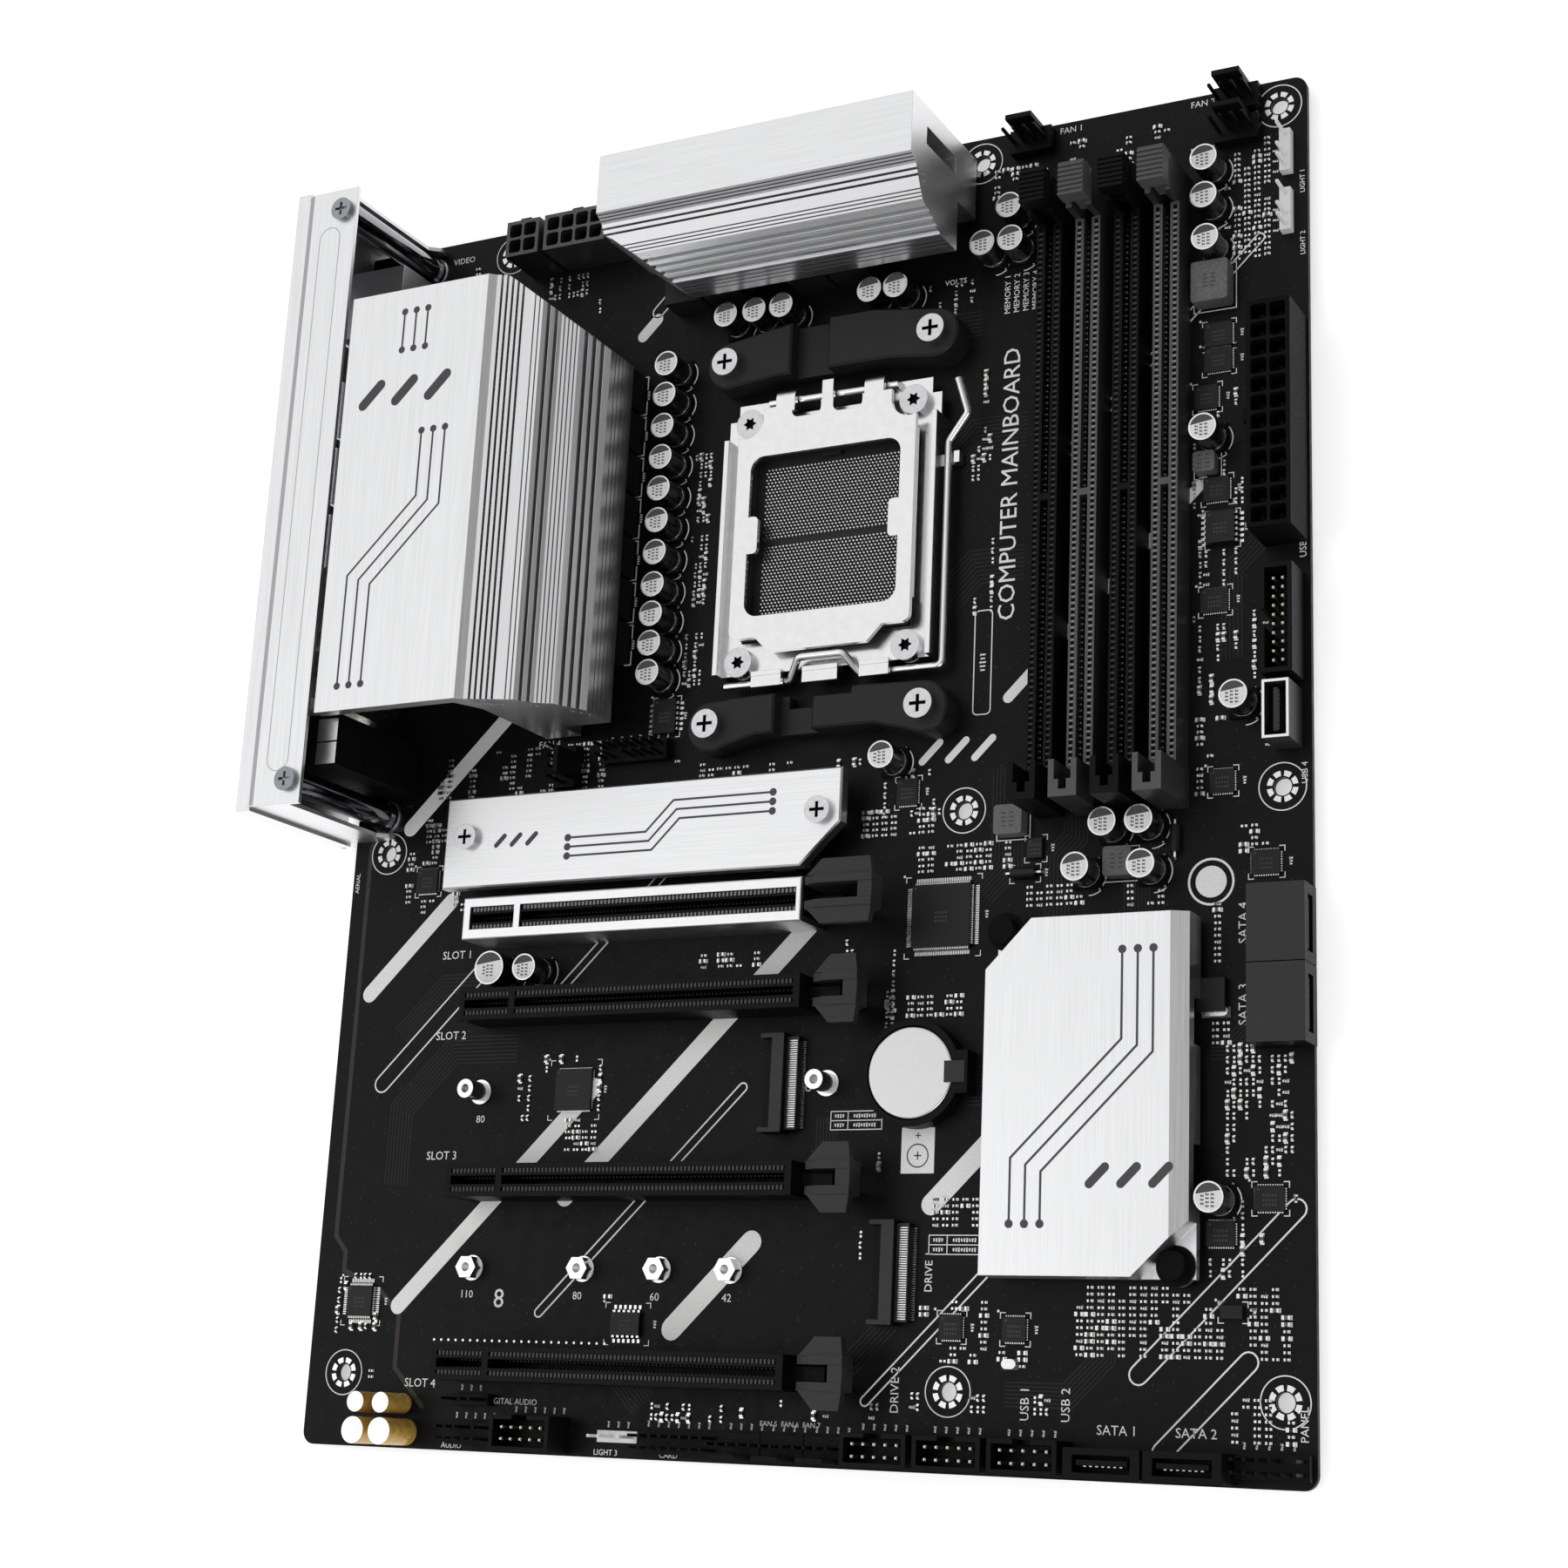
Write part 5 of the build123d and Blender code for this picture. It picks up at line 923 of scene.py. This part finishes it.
def joint(x, y, radius=0.55):
    """Cone of solder around the end of a lead."""
    if not bare_below(x, y):
        return
    n = JOINT_SIDES
    points = []
    for share, z in ((1.6, UNDER_FACE), (1.0, -1.9), (0.45, -2.5)):
        points += [(*p, z) for p in arc(x, y, radius * share, steps=n)]
    walls = [[k + (i + 1) % n, k + i, k + n + i, k + n + (i + 1) % n] for k in (0, n) for i in range(n)]
    joints.add(points, [list(range(n)), list(range(2 * n, 3 * n))[::-1]] + walls)


for i in range(1, 5):
    slot = islands(f"pcie_slot_{i}")[0]
    for k in range(SLOT_POSITIONS):
        x = SLOT_FIRST + k
        if abs(x - SLOT_KEY) > 1.3:
            for side in (-1, 1):
                joint(x, slot.y + side * (1.2 if k % 2 else 2.6), 0.36)
    slot = islands(f"dimm_slot_{i}")[0]
    for k in range(144):
        y = 147.6 + 0.85 * k
        if abs(y - MEMORY_KEY) > KEY_HALF:
            for side in (-1, 1):
                joint(slot.x + side * (0.9 if k % 2 else 2.2), y, 0.3)
for node, step in (
        ("fan_headers", PIN_PITCH), ("pin_headers", PIN_PITCH), ("rgb_headers", PIN_PITCH),
        ("box_headers", PIN_PITCH), ("atx_power_connector", POWER_PITCH),
        ("cpu_power_connectors", POWER_PITCH), ("sata_connectors", 1.9), ("usb_lan_ports", 3.0),
        ("video_ports", 2.4), ("audio_jacks", 4.0), ("usbc_header", 1.8)):
    for x0, x1, y0, y1, z0, z1 in islands(node):
        if z0 < 0.5 and x1 > 4:
            x0 = max(x0, 2.0)
            columns, rows = max(1, int((x1 - x0) / step)), max(1, int((y1 - y0) / step))
            for i in range(columns):
                for j in range(rows):
                    if columns * rows < 30 or (i + j) % 2:
                        x = (x0 + x1) / 2 + (i - (columns - 1) / 2) * step
                        y = (y0 + y1) / 2 + (j - (rows - 1) / 2) * step
                        joint(x, y, 0.9 if step == POWER_PITCH else 0.5)
under = Solids()
for x0, x1, y0, y1 in ((96, 112, 236, 262), (150, 166, 180, 240), (112, 148, 160, 172), (30, 60, 180, 260),
                       (180, 216, 60, 96), (60, 130, 20, 50)):
    for i in range(int((x1 - x0) / 2.6)):
        for j in range(int((y1 - y0) / 2.2)):
            x, y = x0 + 2.6 * i, y0 + 2.2 * j
            if rng.random() < 0.35 and bare_below(x, y):
                under.box(x - 0.3, x + 0.3, y - 0.25, y + 0.25, -2.05, UNDER_FACE, TAN)
                for end in (x - 0.45, x + 0.45):
                    under.box(end - 0.2, end + 0.2, y - 0.28, y + 0.28, -2.02, UNDER_FACE, END)

# -------------------- pieces
ink.piece("screen_print", ["ink"])
copper.piece("copper_tracks", ["mask_raised", "mask_brown"])
tin.piece("tinned_pads", ["tin", "via"])
parts.piece("surface_parts", ["tin", "ceramic", "resistor", "choke_grey"])
leads.piece("chip_leads", ["tin"])
contacts.piece("contacts", ["gold_plate", "slot_rib", "grey_plastic", "tin", "pale_rib", "painted_shade_hollow",
                            "grey_rib"])
tops.piece("part_markings", ["enamel", "print_grey", "capacitor_can", "faint_print"])
art.piece("heatsink_line_art", ["print_grey", "painted_groove_shade"])
fittings.piece("collars", ["satin_steel", "black_plastic_matte"], smooth=40)
joints.piece("solder_joints", ["tin"], smooth=50)
under.piece("underside_parts", ["tin", "ceramic"])

# -------------------- floor, light and camera
def light(name, place, target, size, power):
    """Rectangular lamp that points at a target."""
    data = bpy.data.lights.new(name, "AREA")
    data.shape = "RECTANGLE"
    data.size, data.size_y = size
    data.energy = power
    obj = bpy.data.objects.new(name, data)
    bpy.context.scene.collection.objects.link(obj)
    obj.location = place
    obj.rotation_mode = "QUATERNION"
    obj.rotation_quaternion = (Vector(target) - Vector(place)).to_track_quat("-Z", "Y")


FLOOR_REACH, FLOOR_Z = 12.0, cad_low.z - 0.0002
floor_mesh = bpy.data.meshes.new("floor")
floor_mesh.from_pydata([(x * FLOOR_REACH, y * FLOOR_REACH, FLOOR_Z)
                        for x, y in ((-1, -1), (1, -1), (1, 1), (-1, 1))], [], [(0, 1, 2, 3)])
floor_mesh.materials.append(surface("floor", (0.93, 0.93, 0.93), 0.9, specular=0.0, vary=0.01, grain=3,
                                    bump=0.0, edge=0))
glow = floor_mesh.materials[0].node_tree.nodes["Principled BSDF"]
glow.inputs["Emission Color"].default_value = (1, 1, 1, 1)
glow.inputs["Emission Strength"].default_value = 0.5
floor = bpy.data.objects.new("floor", floor_mesh)
bpy.context.scene.collection.objects.link(floor)

world = bpy.data.worlds.new("studio")
bpy.context.scene.world = world
world.use_nodes = True
sky_nodes, sky_links = world.node_tree.nodes, world.node_tree.links
sky_place = sky_nodes.new("ShaderNodeTexCoord")
toward = sky_nodes.new("ShaderNodeVectorMath")          # brightest overhead and a little behind the board
toward.operation = "DOT_PRODUCT"
toward.inputs[1].default_value = Vector((-0.5, 0.3, 0.8)).normalized()
sky_ramp = sky_nodes.new("ShaderNodeValToRGB")
sky_ramp.color_ramp.elements[0].color, sky_ramp.color_ramp.elements[0].position = (0.22, 0.22, 0.22, 1), 0.05
sky_ramp.color_ramp.elements[1].color, sky_ramp.color_ramp.elements[1].position = (1.0, 1.0, 1.0, 1), 0.9
middle = sky_ramp.color_ramp.elements.new(0.5)
middle.color = (0.5, 0.5, 0.5, 1)
sky_links.new(sky_place.outputs["Generated"], toward.inputs[0])
sky_links.new(toward.outputs["Value"], sky_ramp.inputs["Fac"])
sky_links.new(sky_ramp.outputs["Color"], sky_nodes["Background"].inputs["Color"])
sky_nodes["Background"].inputs["Strength"].default_value = 1.0

BOARD_MIDDLE = (0, 0.05, 0)
light("left", (-1.0, -0.2, 1.5), BOARD_MIDDLE, (1.0, 0.8), 1.5)
light("front", (0.8, -1.2, 0.8), BOARD_MIDDLE, (1.0, 0.6), 7)

bpy.context.scene.view_settings.view_transform = "Standard"

camera = bpy.data.objects.new("camera", bpy.data.cameras.new("camera"))
bpy.context.scene.collection.objects.link(camera)
EYE = point(394.488, 3.921, 512.121)
LOOK, UP = Vector((-0.44614678, 0.26543129, -0.8546925)), Vector((0.08340561, 0.96318186, 0.25558603))
camera.matrix_world = Matrix.Translation(EYE) @ Matrix((LOOK.cross(UP), UP, -LOOK)).transposed().to_4x4()
camera.data.sensor_width = 36.0
camera.data.lens = 59.98
camera.data.shift_x, camera.data.shift_y = -0.0199, -0.0352
camera.data.clip_start, camera.data.clip_end = 0.01, 50.0
bpy.context.scene.camera = camera
